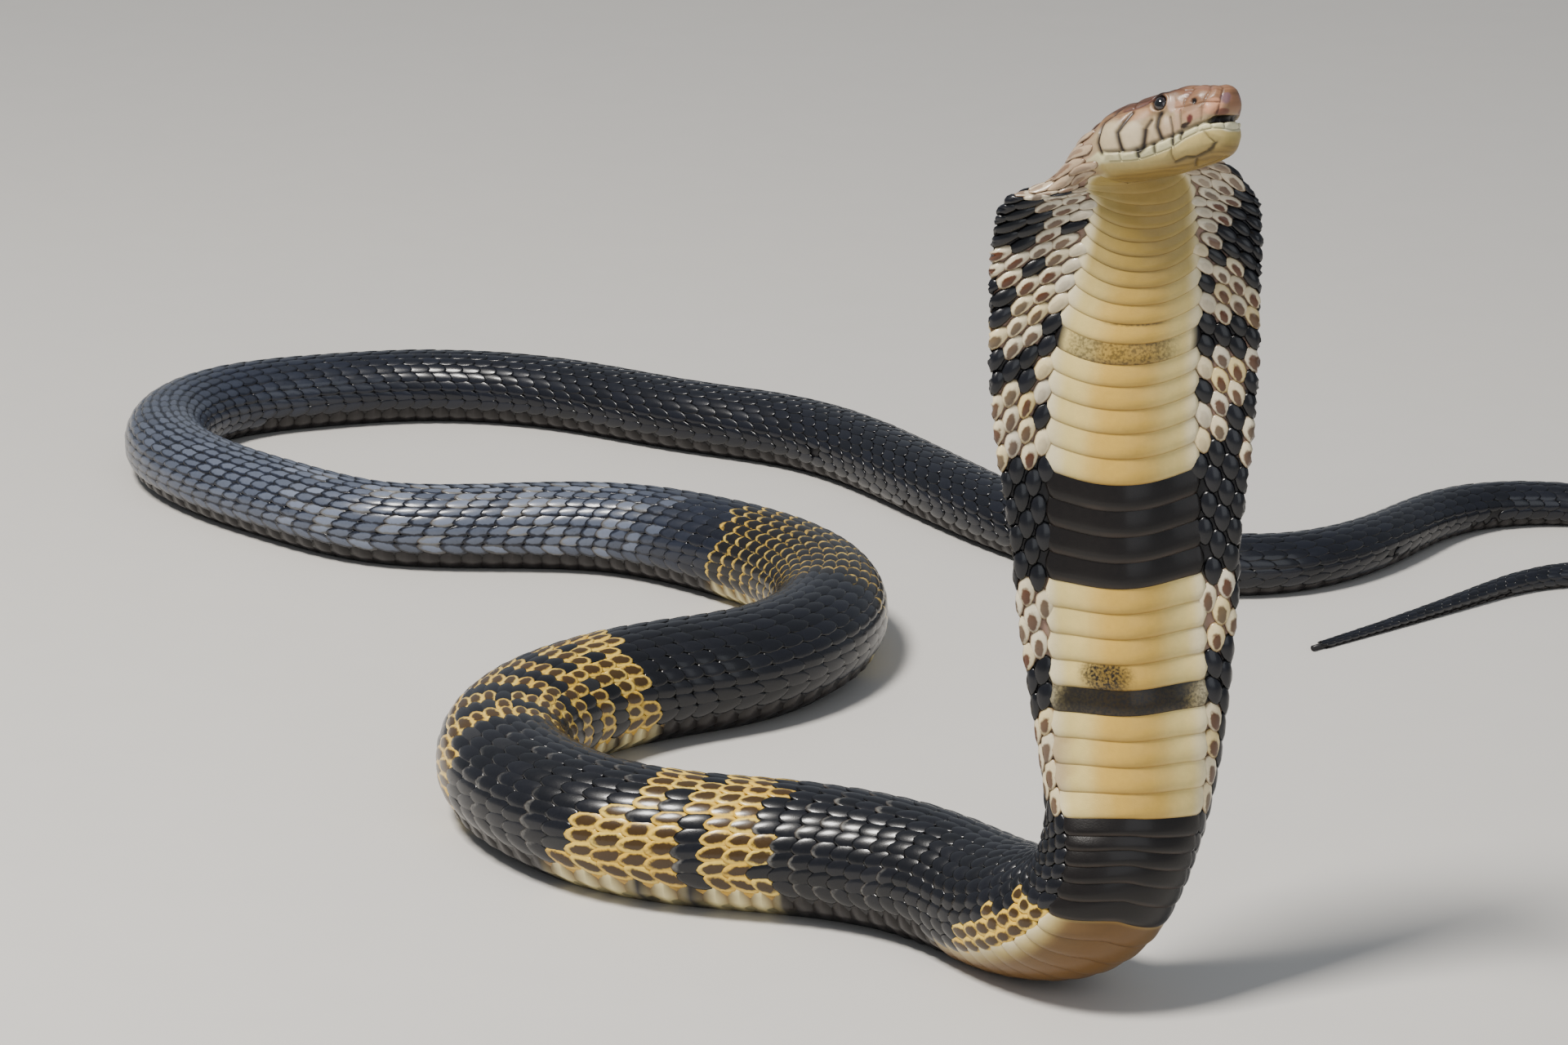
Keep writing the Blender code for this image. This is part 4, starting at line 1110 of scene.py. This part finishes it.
def scale_lattice(rows):
    """Scute number and row of every scale of some rows."""
    last = int(np.interp(LENGTH - 0.2, STATIONS, NUMBERS))
    found = []
    for row in rows:
        number = np.arange(FIRST_SCALE, last, dtype=float)
        number = number + row_shift(reach_of(number), row)
        reach = reach_of(number)
        kept = np.abs(row) < read(SCALE_ROWS, reach) - read(ROW_MARGIN, reach)
        found.append(np.stack([number[kept], np.full(kept.sum(), float(row))], 1))
    return np.concatenate(found)


def coat_tint(number, row, draw):
    """Rim and heart colour of each scale, the heart's strength, middle and size, and the net."""
    reach = reach_of(number)
    share = 1.0 - np.abs(row) / read(SCALE_ROWS, reach)
    pale = (pale_share(reach, number, row, share) > 0.5) * 1.0
    neck = 1.0 - smooth(*NECK_SCALES, number)
    raised = 1.0 - smooth(*CREAM_END, reach)
    lively = 0.5 + 0.5 * draw
    cream = mix(linear(204, 194, 172), linear(222, 198, 132), smooth(7.0, 12.0, number) * lively[:, 5])
    cream = mix(cream, linear(226, 216, 190), 0.6 * lively[:, 0])
    cream = mix(cream, linear(164, 136, 106), 0.8 * neck)
    yellow = mix(linear(222, 178, 62), linear(232, 198, 92), lively[:, 0])
    rim = mix(yellow, cream, raised)
    heart = mix(linear(48, 30, 16), linear(86, 46, 22), raised * (0.3 + 0.7 * lively[:, 1]))
    heart = mix(heart, linear(96, 64, 46), 0.6 * neck)
    beside_belly = (1.0 - smooth(0.03, 0.1, share)) * (number < 24.0)
    strength = mix1(0.97, 0.85 + 0.15 * lively[:, 1], raised) * (1.0 - 0.8 * beside_belly)
    strength = strength * mix1(1.0, 0.3 + 0.5 * lively[:, 2], neck)
    black = mix(linear(11, 12, 17), linear(18, 19, 26), lively[:, 0])
    # painted reflection of the blue sky: the black scales turn bluer and lighter along the middle of
    # the body
    painted_sky_reflection = mix(linear(19, 22, 33), linear(28, 33, 47), lively[:, 0])
    black = mix(black, painted_sky_reflection, smooth(60.0, 85.0, reach) * (1.0 - 0.75 * smooth(108.0, 132.0, reach)))
    back_of_neck = neck * (1.0 - smooth(4.0, 6.0, np.abs(row)))
    black = mix(black, linear(96, 70, 56), back_of_neck)
    fleck_zone = np.zeros_like(reach)
    for zone in FLECKED:
        fleck_zone = np.maximum(fleck_zone, stretch(*zone, reach))
    fleck = smooth(0.62, 0.95, lively[:, 2]) * fleck_zone * (1.0 - pale)
    dark_tipped = (reach > DARK_TIPPED[0]) * (reach < DARK_TIPPED[1]) * pale
    heart = mix(black, heart, pale)
    rim = mix(black, rim, pale)
    rim = mix(rim, linear(150, 148, 142), 0.5 * fleck)
    heart = mix(heart, linear(22, 20, 20), dark_tipped)
    strength = np.maximum(strength * pale, fleck > 0.1)
    strength = np.maximum(strength, dark_tipped)
    # painted sheen: the black scales of the second leg get a pale bluish middle where their gloss would
    # catch the light
    painted_sheen = stretch(*PAINTED_SHEEN_SPAN, reach) * (1.0 - pale)
    heart = mix(heart, linear(112, 120, 138), painted_sheen)
    strength = np.maximum(strength, painted_sheen * (0.42 + 0.22 * lively[:, 1]))
    whole = np.maximum(dark_tipped, 1.0 - pale) * (painted_sheen == 0.0)
    at = mix1(mix1(0.02, 0.28, raised), -0.22, whole)
    long = mix1(mix1(0.8, 0.66, raised) * (0.9 + 0.2 * lively[:, 3]), 1.08, whole)
    wide = mix1(mix1(0.62, 0.56, raised) * (0.9 + 0.2 * lively[:, 4]), 1.15, whole)
    return rim, heart, strength, at, long, wide, pale * (1.0 - raised)


def build_scales(name, rows, template, material):
    """The scales of some rows, from the nape to the tip of the tail."""
    lattice = scale_lattice(rows)
    count = len(lattice)
    local = corners(template)
    mesh = repeated(name, template, count)
    draw = np.random.default_rng(abs(rows[0]) * 7 + len(rows)).uniform(-1.0, 1.0, (count, 6))
    each = np.repeat(np.arange(count), len(local))
    number, row = lattice[each].T
    a, b, top = np.tile(local, (count, 1)).T
    reach = reach_of(number)
    width = 1.0 - SCALE_TAPER * a - 0.1 * a**2
    long = read(SCALE_HALF_LENGTH, reach) * (1.0 + 0.04 * draw[each, 3])
    wide = read(SCALE_HALF_WIDTH, reach) * (1.0 + 0.04 * draw[each, 4])
    low = smooth(-2.6, -1.4, np.abs(row) - read(SCALE_ROWS, reach)) * (reach > 26.0)
    turn = mix1(read(SCALE_TURN, reach), LOW_SCALE_TURN, low) * smooth(0.0, 1.5, np.abs(row))
    at_number = number + long * a
    at_row = row + wide * b * width + np.sign(row) * turn * a
    at_reach = reach_of(at_number)
    # a scale of the middle row lies on both sides
    sign = np.where((row < 0.0) | ((row == 0.0) & (at_row < 0.0)), -1.0, 1.0)
    share = 1.0 - at_row * sign / read(SCALE_ROWS, at_reach)
    place = BELLY_PART + (1.0 - BELLY_PART) * share
    radius = np.clip(np.hypot(a, b), 0.0, 1.0)
    tilt = read(SCALE_TILT, reach) * (0.5 + 0.5 * a) * props().scale_lift
    dome = read(SCALE_DOME, reach) * (1.0 - radius**2.4)
    jitter = 0.006 * draw[each, 5]
    lift = np.where(top > 0.5, tilt + dome + jitter, tilt - SCALE_THICKNESS)
    lift = np.where((top < 0.5) & (a < 0.0), lift - SKIN_SINK, lift)
    lay(mesh, at_reach, place, sign, lift)
    rim, heart, strength, middle, heart_long, heart_wide, net = coat_tint(*lattice.T, draw)
    give_colour(mesh, "tint", rim[each])
    give_colour(mesh, "heart", heart[each])
    # painted shade in the seams: the rims, sides and foot of each scale are darkened, less where the
    # yellow net shows between them
    edge = (smooth(0.88, 1.02, radius) * (top > 0.5) + (top < 0.5)) * (1.0 - 0.85 * net[each])
    give_colour(mesh, "marks", np.stack([edge, strength[each]], 1))
    vertex = corner_vertices(mesh)
    u, v = skin_map(reach, 0.5 + 0.5 * np.sign(row) * (1.0 - 0.5 * np.abs(row) / MOST_ROWS))
    size = np.where(top > 0.5, 0.5 * COAT_PATCH, 0.1 * COAT_PATCH)
    give_map(mesh, "OFBake", np.stack([(u + size * b)[vertex], (v + size * a)[vertex]], 1))
    in_heart = np.stack([b / heart_wide[each], (a - middle[each]) / heart_long[each]], 1)
    give_map(mesh, "Heart", in_heart[vertex])
    return finished(name, mesh, material)


# Eyes

PUPIL = 0.52
EYE_SEGMENTS = 48


def build_eye(name, sign, material):
    """Eye with its pupil facing out along the axis of the socket."""
    data = bmesh.new()
    bmesh.ops.create_uvsphere(data, u_segments=EYE_SEGMENTS, v_segments=EYE_SEGMENTS // 2, radius=1.0)
    mesh = made_mesh(data, name)
    local = corners(mesh)
    axis = unit(np.array(EYE_AXIS))
    across = unit(np.cross(axis, (0.0, 0.0, 1.0)))
    upward = np.cross(across, axis)
    turned = local[:, :1] * across + local[:, 1:2] * upward + local[:, 2:] * axis
    head = np.array(EYE_AT) + EYE_RADIUS * turned
    points = in_head(head[:, 0], sign * head[:, 1], head[:, 2])
    place_points(mesh, points)
    from_axis = np.hypot(local[:, 0], local[:, 1])
    iris = mix(linear(8, 8, 12), linear(40, 34, 38), smooth(PUPIL, PUPIL + 0.07, from_axis))
    iris = mix(iris, linear(16, 15, 22), smooth(0.78, 0.95, from_axis))
    give_colour(mesh, "tint", iris)
    data = bmesh.new()
    data.from_mesh(mesh)
    bmesh.ops.recalc_face_normals(data, faces=data.faces)
    data.to_mesh(mesh)
    data.free()
    eye = finished(name, mesh, material)
    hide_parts(name)
    return eye


# Materials

SEAM_SHADE = (0.32, 0.24, 0.2, 1.0)
SPECK_COLOUR = (0.012, 0.01, 0.009, 1.0)
SPECK_EDGE = (0.36, 0.66)
HEART_EDGE = (0.7, 1.1)
HEART_RAGGED = 0.45
FINE_GRAIN = 5.0
ROUGHNESS_SWING = 0.08
GRAIN_HEIGHT = 0.0002
COAT_ROUGHNESS = 0.16
HORN_SPECULAR = 0.3


def node(tree, kind, **inputs):
    made = tree.nodes.new(kind)
    for name, value in inputs.items():
        made.inputs[name.replace("_", " ")].default_value = value
    return made


def math_node(tree, operation, *values):
    """Math node with values for its inputs after the first."""
    made = tree.nodes.new("ShaderNodeMath")
    made.operation = operation
    for place, value in enumerate(values, 1):
        made.inputs[place].default_value = value
    return made


def vector_node(tree, operation, value=(0.0, 0.0, 0.0)):
    made = tree.nodes.new("ShaderNodeVectorMath")
    made.operation = operation
    made.inputs[1].default_value = value
    return made


def colour_mix(tree, blend="MIX"):
    made = tree.nodes.new("ShaderNodeMix")
    made.data_type = "RGBA"
    made.blend_type = blend
    return made


def eased(tree, low, high, first, last):
    """Value that eases from first at low to last at high."""
    made = node(tree, "ShaderNodeMapRange", From_Min=low, From_Max=high, To_Min=first, To_Max=last)
    made.interpolation_type = "SMOOTHSTEP"
    return made


def carried(tree, name):
    """Attribute that the vertices carry."""
    made = tree.nodes.new("ShaderNodeAttribute")
    made.attribute_name = name
    return made


def link(tree, *wires):
    """Join nodes: from a node and its output to a node and its input."""
    for source, output, target, entry in wires:
        tree.links.new(source.outputs[output], target.inputs[entry])


def shader_group(name, inputs, outputs):
    """New node group with its sockets, and its input and output nodes."""
    group = bpy.data.node_groups.new(name, "ShaderNodeTree")
    for direction, sockets in (("INPUT", inputs), ("OUTPUT", outputs)):
        for socket, kind in sockets:
            group.interface.new_socket(socket, in_out=direction, socket_type="NodeSocket" + kind)
    return group, group.nodes.new("NodeGroupInput"), group.nodes.new("NodeGroupOutput")


def new_material(name):
    material = bpy.data.materials.new(name)
    material.use_nodes = True
    return material, material.node_tree, material.node_tree.nodes["Principled BSDF"]


def grain_group():
    """Fine mottling of colour, roughness and height for horny scales."""
    group, given, result = shader_group(
        "horn_grain",
        (("Color", "Color"), ("Size", "Float"), ("Mottle", "Float"), ("Roughness", "Float")),
        (("Color", "Color"), ("Roughness", "Float"), ("Height", "Float")))
    place = group.nodes.new("ShaderNodeTexCoord")
    coarse = node(group, "ShaderNodeTexNoise", Detail=4.0, Roughness=0.6)
    fine = node(group, "ShaderNodeTexNoise", Detail=2.0, Roughness=0.5)
    bigger = math_node(group, "MULTIPLY", FINE_GRAIN)
    swing = node(group, "ShaderNodeMapRange", To_Min=-1.0)
    strength = math_node(group, "MULTIPLY_ADD", 1.0, 1.0)
    shade = group.nodes.new("ShaderNodeHueSaturation")
    rough = math_node(group, "MULTIPLY_ADD", ROUGHNESS_SWING)
    link(
        group, (place, "Object", coarse, "Vector"), (place, "Object", fine, "Vector"),
        (given, "Size", coarse, "Scale"), (given, "Size", bigger, 0), (bigger, 0, fine, "Scale"),
        (coarse, "Fac", swing, "Value"), (swing, "Result", strength, 0),
        (given, "Mottle", strength, 1), (strength, 0, shade, "Value"),
        (given, "Color", shade, "Color"), (shade, "Color", result, "Color"),
        (swing, "Result", rough, 0), (given, "Roughness", rough, 2),
        (rough, 0, result, "Roughness"), (fine, "Fac", result, "Height"))
    return group


def heart_group():
    """Colour of a scale whose heart differs from its rim.

    On the scale's own map the heart is a circle of radius 1 round the origin.
    """
    group, given, result = shader_group(
        "scale_heart",
        (("Rim", "Color"), ("Heart", "Color"), ("Strength", "Float")),
        (("Color", "Color"),))
    scale_map = group.nodes.new("ShaderNodeUVMap")
    scale_map.uv_map = "Heart"
    place = group.nodes.new("ShaderNodeTexCoord")
    ragged = node(group, "ShaderNodeTexNoise", Scale=420.0, Detail=3.0, Roughness=0.6)
    swing = vector_node(group, "MULTIPLY_ADD", (2.0 * HEART_RAGGED, 2.0 * HEART_RAGGED, 0.0))
    steady = vector_node(group, "SUBTRACT", (HEART_RAGGED, HEART_RAGGED, 0.0))
    length = vector_node(group, "LENGTH")
    inside = eased(group, *HEART_EDGE, 1.0, 0.0)
    amount = math_node(group, "MULTIPLY")
    blend = colour_mix(group)
    link(
        group, (place, "Object", ragged, "Vector"), (ragged, "Color", swing, 0),
        (scale_map, "UV", steady, 0), (steady, "Vector", swing, 2), (swing, "Vector", length, 0),
        (length, "Value", inside, "Value"), (inside, "Result", amount, 0),
        (given, "Strength", amount, 1), (amount, 0, blend, "Factor"), (given, "Rim", blend, "A"),
        (given, "Heart", blend, "B"), (blend, "Result", result, "Color"))
    return group


def coat_material(name, size, mottle, roughness, coat, bump, hearts=None):
    """Horn with the colour that its vertices carry, darkened by painted shade in its seams.

    Scales have hearts, while skin and belly scutes may be speckled.
    """
    material, tree, shader = new_material(name)
    tint = carried(tree, "tint")
    marks = carried(tree, "marks")
    split = tree.nodes.new("ShaderNodeSeparateColor")
    seams = colour_mix(tree, "MULTIPLY")
    seams.inputs["B"].default_value = SEAM_SHADE
    grain = tree.nodes.new("ShaderNodeGroup")
    grain.node_tree = bpy.data.node_groups.get("horn_grain") or grain_group()
    grain.inputs["Size"].default_value = size
    grain.inputs["Mottle"].default_value = mottle
    grain.inputs["Roughness"].default_value = roughness
    relief = node(tree, "ShaderNodeBump", Strength=bump, Distance=GRAIN_HEIGHT)
    link(
        tree, (marks, "Color", split, "Color"), (split, "Red", seams, "Factor"),
        (seams, "Result", grain, "Color"), (grain, "Color", shader, "Base Color"),
        (grain, "Roughness", shader, "Roughness"), (grain, "Height", relief, "Height"),
        (relief, "Normal", shader, "Normal"))
    if hearts:
        scale = tree.nodes.new("ShaderNodeGroup")
        scale.node_tree = hearts
        link(
            tree, (tint, "Color", scale, "Rim"), (carried(tree, "heart"), "Color", scale, "Heart"),
            (split, "Green", scale, "Strength"), (scale, "Color", seams, "A"))
    else:
        place = tree.nodes.new("ShaderNodeTexCoord")
        specks = node(tree, "ShaderNodeTexNoise", Scale=1100.0, Detail=2.0)
        spots = eased(tree, *SPECK_EDGE, 0.0, 1.0)
        amount = math_node(tree, "MULTIPLY")
        dusky = colour_mix(tree)
        dusky.inputs["B"].default_value = SPECK_COLOUR
        link(
            tree, (place, "Object", specks, "Vector"), (specks, "Fac", spots, "Value"),
            (spots, "Result", amount, 0), (split, "Blue", amount, 1), (amount, 0, dusky, "Factor"),
            (tint, "Color", dusky, "A"), (dusky, "Result", seams, "A"))
    shader.inputs["Coat Weight"].default_value = coat
    shader.inputs["Coat Roughness"].default_value = COAT_ROUGHNESS
    shader.inputs["Specular IOR Level"].default_value = HORN_SPECULAR
    return material


def eye_material():
    material, tree, shader = new_material("wet_eye")
    tint = carried(tree, "tint")
    place = tree.nodes.new("ShaderNodeTexCoord")
    streaks = node(tree, "ShaderNodeTexNoise", Scale=2500.0)
    shade = colour_mix(tree, "MULTIPLY")
    shade.inputs["Factor"].default_value = 0.5
    link(
        tree, (place, "Object", streaks, "Vector"), (tint, "Color", shade, "A"),
        (streaks, "Color", shade, "B"), (shade, "Result", shader, "Base Color"))
    shader.inputs["Roughness"].default_value = 0.06
    shader.inputs["Coat Weight"].default_value = 1.0
    shader.inputs["Coat Roughness"].default_value = 0.02
    return material


# Stage

CAMERA_AWAY = 2.136
CAMERA_RISE = math.radians(18.5)
CAMERA_LENS = 124.03
CAMERA_SENSOR = 36.0
FLOOR_HALF = 4.0
SKY_COLOUR = (0.86, 0.92, 1.0, 1.0)
SKY_STRENGTH = 0.33


def lamp(name, at, toward, size, power, colour):
    light = bpy.data.lights.new(name, "AREA")
    light.size = size
    light.energy = power
    light.color = colour
    thing = bpy.data.objects.new(name, light)
    thing.location = at
    aim = Vector(toward) - Vector(at)
    thing.rotation_euler = aim.to_track_quat("-Z", "Y").to_euler()
    bpy.context.scene.collection.objects.link(thing)


def floor_material(colour):
    material, tree, shader = new_material("studio_floor")
    shader.inputs["Roughness"].default_value = 0.7
    place = tree.nodes.new("ShaderNodeTexCoord")
    speckle = node(tree, "ShaderNodeTexNoise", Scale=40.0, Detail=5.0)
    shade = colour_mix(tree)
    shade.inputs["A"].default_value = (*[0.96 * value for value in colour], 1.0)
    shade.inputs["B"].default_value = (*colour, 1.0)
    link(
        tree, (place, "Object", speckle, "Vector"), (speckle, "Fac", shade, "Factor"),
        (shade, "Result", shader, "Base Color"))
    return material


def props():
    return bpy.context.scene.banded_cobra


class CobraSettings(bpy.types.PropertyGroup):
    """Sizes and colours of the cobra and its stage."""

    scute_height: FloatProperty(
        name="Scute height", description="How far the belly scutes puff out",
        default=1.0, min=0.0, max=2.0, subtype="FACTOR")
    scale_lift: FloatProperty(
        name="Scale lift", description="How far the tips of the scales stand off the skin",
        default=1.0, min=0.0, max=2.0, subtype="FACTOR")
    gloss: FloatProperty(
        name="Gloss", description="Strength of the clear coat over the scales",
        default=0.45, min=0.0, max=1.0, subtype="FACTOR")
    floor_colour: FloatVectorProperty(
        name="Floor colour", description="Colour of the studio floor",
        default=(0.62, 0.6, 0.57), size=3, min=0.0, max=1.0, subtype="COLOR")
    key_power: FloatProperty(
        name="Key light", description="Power of the key light",
        default=68.0, min=0.0, unit="POWER")
    fill_power: FloatProperty(
        name="Fill light", description="Power of the fill light",
        default=9.0, min=0.0, unit="POWER")


SKIN_NODES = ["head", "neck", "hood_upper", "hood_lower", "column", "heel_upper", "heel_lower"]
SKIN_NODES += [f"body_{number}" for number in range(1, 13)]
SKIN_NODES += [f"tail_{number}" for number in range(1, 5)]


class COBRA_OT_skin(bpy.types.Operator):
    """Make the one closed skin of the head, body and tail"""

    bl_idname = "cobra.skin"
    bl_label = "Skin"

    def execute(self, context):
        head_rows = np.linspace(-HEAD_LENGTH, HEAD_SKIN_END, HEAD_STATIONS)
        head = skin_patch("skin_head", HEAD_ROWS, HEAD_AROUND, head_rows)
        raised_rows = np.linspace(HEAD_SKIN_END + SKIN_STRETCH_GAP, LAND, RAISED_STATIONS)
        body_rows = np.r_[raised_rows, np.linspace(LAND + 0.6, LENGTH, GROUND_STATIONS)]
        body = skin_patch("skin_body", BODY_ROWS, BODY_AROUND, body_rows)
        mesh = join_skin(head, body)
        material = coat_material(
            "cobra_skin", size=900.0, mottle=0.12, roughness=0.42, coat=0.15, bump=0.25)
        skin = finished("cobra_skin", mesh, material)
        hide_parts(*SKIN_NODES)
        return {"FINISHED"}


class COBRA_OT_scutes(bpy.types.Operator):
    """Make the belly scutes of the raised part and of the body on the ground"""

    bl_idname = "cobra.scutes"
    bl_label = "Belly scutes"

    def execute(self, context):
        material = coat_material(
            "belly_scutes", size=500.0, mottle=0.1, roughness=0.4, coat=0.2, bump=0.3)
        last = int(np.interp(LENGTH - 0.3, STATIONS, NUMBERS))
        build_scutes("belly_scutes_raised", 1, RAISED_SCUTES, RAISED_GRID, material)
        build_scutes("belly_scutes_ground", RAISED_SCUTES, last, GROUND_GRID, material)
        return {"FINISHED"}


class COBRA_OT_scales(bpy.types.Operator):
    """Make the rows of scales of the back and the flanks"""

    bl_idname = "cobra.scales"
    bl_label = "Scales"

    def execute(self, context):
        template = scale_template()
        material = coat_material(
            "dorsal_scales", size=700.0, mottle=0.16, roughness=0.3, coat=props().gloss, bump=0.2,
            hearts=heart_group())
        build_scales("scales_back_left", range(0, BACK_ROWS), template, material)
        build_scales("scales_back_right", range(1 - BACK_ROWS, 0), template, material)
        flank = range(BACK_ROWS, MOST_ROWS)
        build_scales("scales_flank_left", flank, template, material)
        flank = range(1 - MOST_ROWS, 1 - BACK_ROWS)
        build_scales("scales_flank_right", flank, template, material)
        bpy.data.meshes.remove(template)
        return {"FINISHED"}


class COBRA_OT_eyes(bpy.types.Operator):
    """Make both eyes"""

    bl_idname = "cobra.eyes"
    bl_label = "Eyes"

    def execute(self, context):
        material = eye_material()
        build_eye("eye_left", 1.0, material)
        build_eye("eye_right", -1.0, material)
        return {"FINISHED"}


class COBRA_OT_stage(bpy.types.Operator):
    """Make the floor, the lights, the pale world and the camera"""

    bl_idname = "cobra.stage"
    bl_label = "Stage"

    def execute(self, context):
        mesh = flat_grid("studio_floor", 2, 2, FLOOR_HALF)
        floor = bpy.data.objects.new("studio_floor", mesh)
        mesh.materials.append(floor_material(props().floor_colour))
        context.scene.collection.objects.link(floor)
        lamp(
            "key", at=(-0.75, -0.65, 1.85), toward=(0.02, -0.1, 0.05), size=0.45,
            power=props().key_power, colour=(1.0, 0.96, 0.9))
        lamp(
            "fill", at=(0.9, -1.9, 1.1), toward=(0.05, -0.2, 0.1), size=1.6,
            power=props().fill_power, colour=(0.92, 0.96, 1.0))
        world = context.scene.world or bpy.data.worlds.new("studio")
        context.scene.world = world
        world.use_nodes = True
        sky = world.node_tree.nodes["Background"]
        sky.inputs["Color"].default_value = SKY_COLOUR
        sky.inputs["Strength"].default_value = SKY_STRENGTH
        camera = bpy.data.cameras.new("photo_camera")
        camera.lens = CAMERA_LENS
        camera.sensor_width = CAMERA_SENSOR
        thing = bpy.data.objects.new("photo_camera", camera)
        thing.location = (
            -ORIGIN[0] * CM,
            -ORIGIN[1] * CM - CAMERA_AWAY * math.cos(CAMERA_RISE),
            CAMERA_AWAY * math.sin(CAMERA_RISE))
        thing.rotation_euler = (math.pi / 2 - CAMERA_RISE, 0.0, 0.0)
        context.scene.collection.objects.link(thing)
        context.scene.camera = thing
        return {"FINISHED"}


OPERATORS = (COBRA_OT_skin, COBRA_OT_scutes, COBRA_OT_scales, COBRA_OT_eyes, COBRA_OT_stage)


class COBRA_PT_panel(bpy.types.Panel):
    """Settings and builders of the banded cobra"""

    bl_idname = "COBRA_PT_panel"
    bl_label = "Banded Cobra"
    bl_space_type = "VIEW_3D"
    bl_region_type = "UI"
    bl_category = "Cobra"

    def draw(self, context):
        settings = context.scene.banded_cobra
        for name in ("scute_height", "scale_lift", "gloss", "floor_colour", "key_power", "fill_power"):
            self.layout.prop(settings, name)
        for operator in OPERATORS:
            self.layout.operator(operator.bl_idname)


CLASSES = (CobraSettings, *OPERATORS, COBRA_PT_panel)


def register():
    for entry in CLASSES:
        bpy.utils.register_class(entry)
    bpy.types.Scene.banded_cobra = PointerProperty(type=CobraSettings)


def unregister():
    del bpy.types.Scene.banded_cobra
    for entry in reversed(CLASSES):
        bpy.utils.unregister_class(entry)


def main():
    register()
    bpy.ops.cobra.skin()
    bpy.ops.cobra.scutes()
    bpy.ops.cobra.scales()
    bpy.ops.cobra.eyes()
    bpy.ops.cobra.stage()
    bpy.context.view_layer.update()


if __name__ == "__main__":
    main()
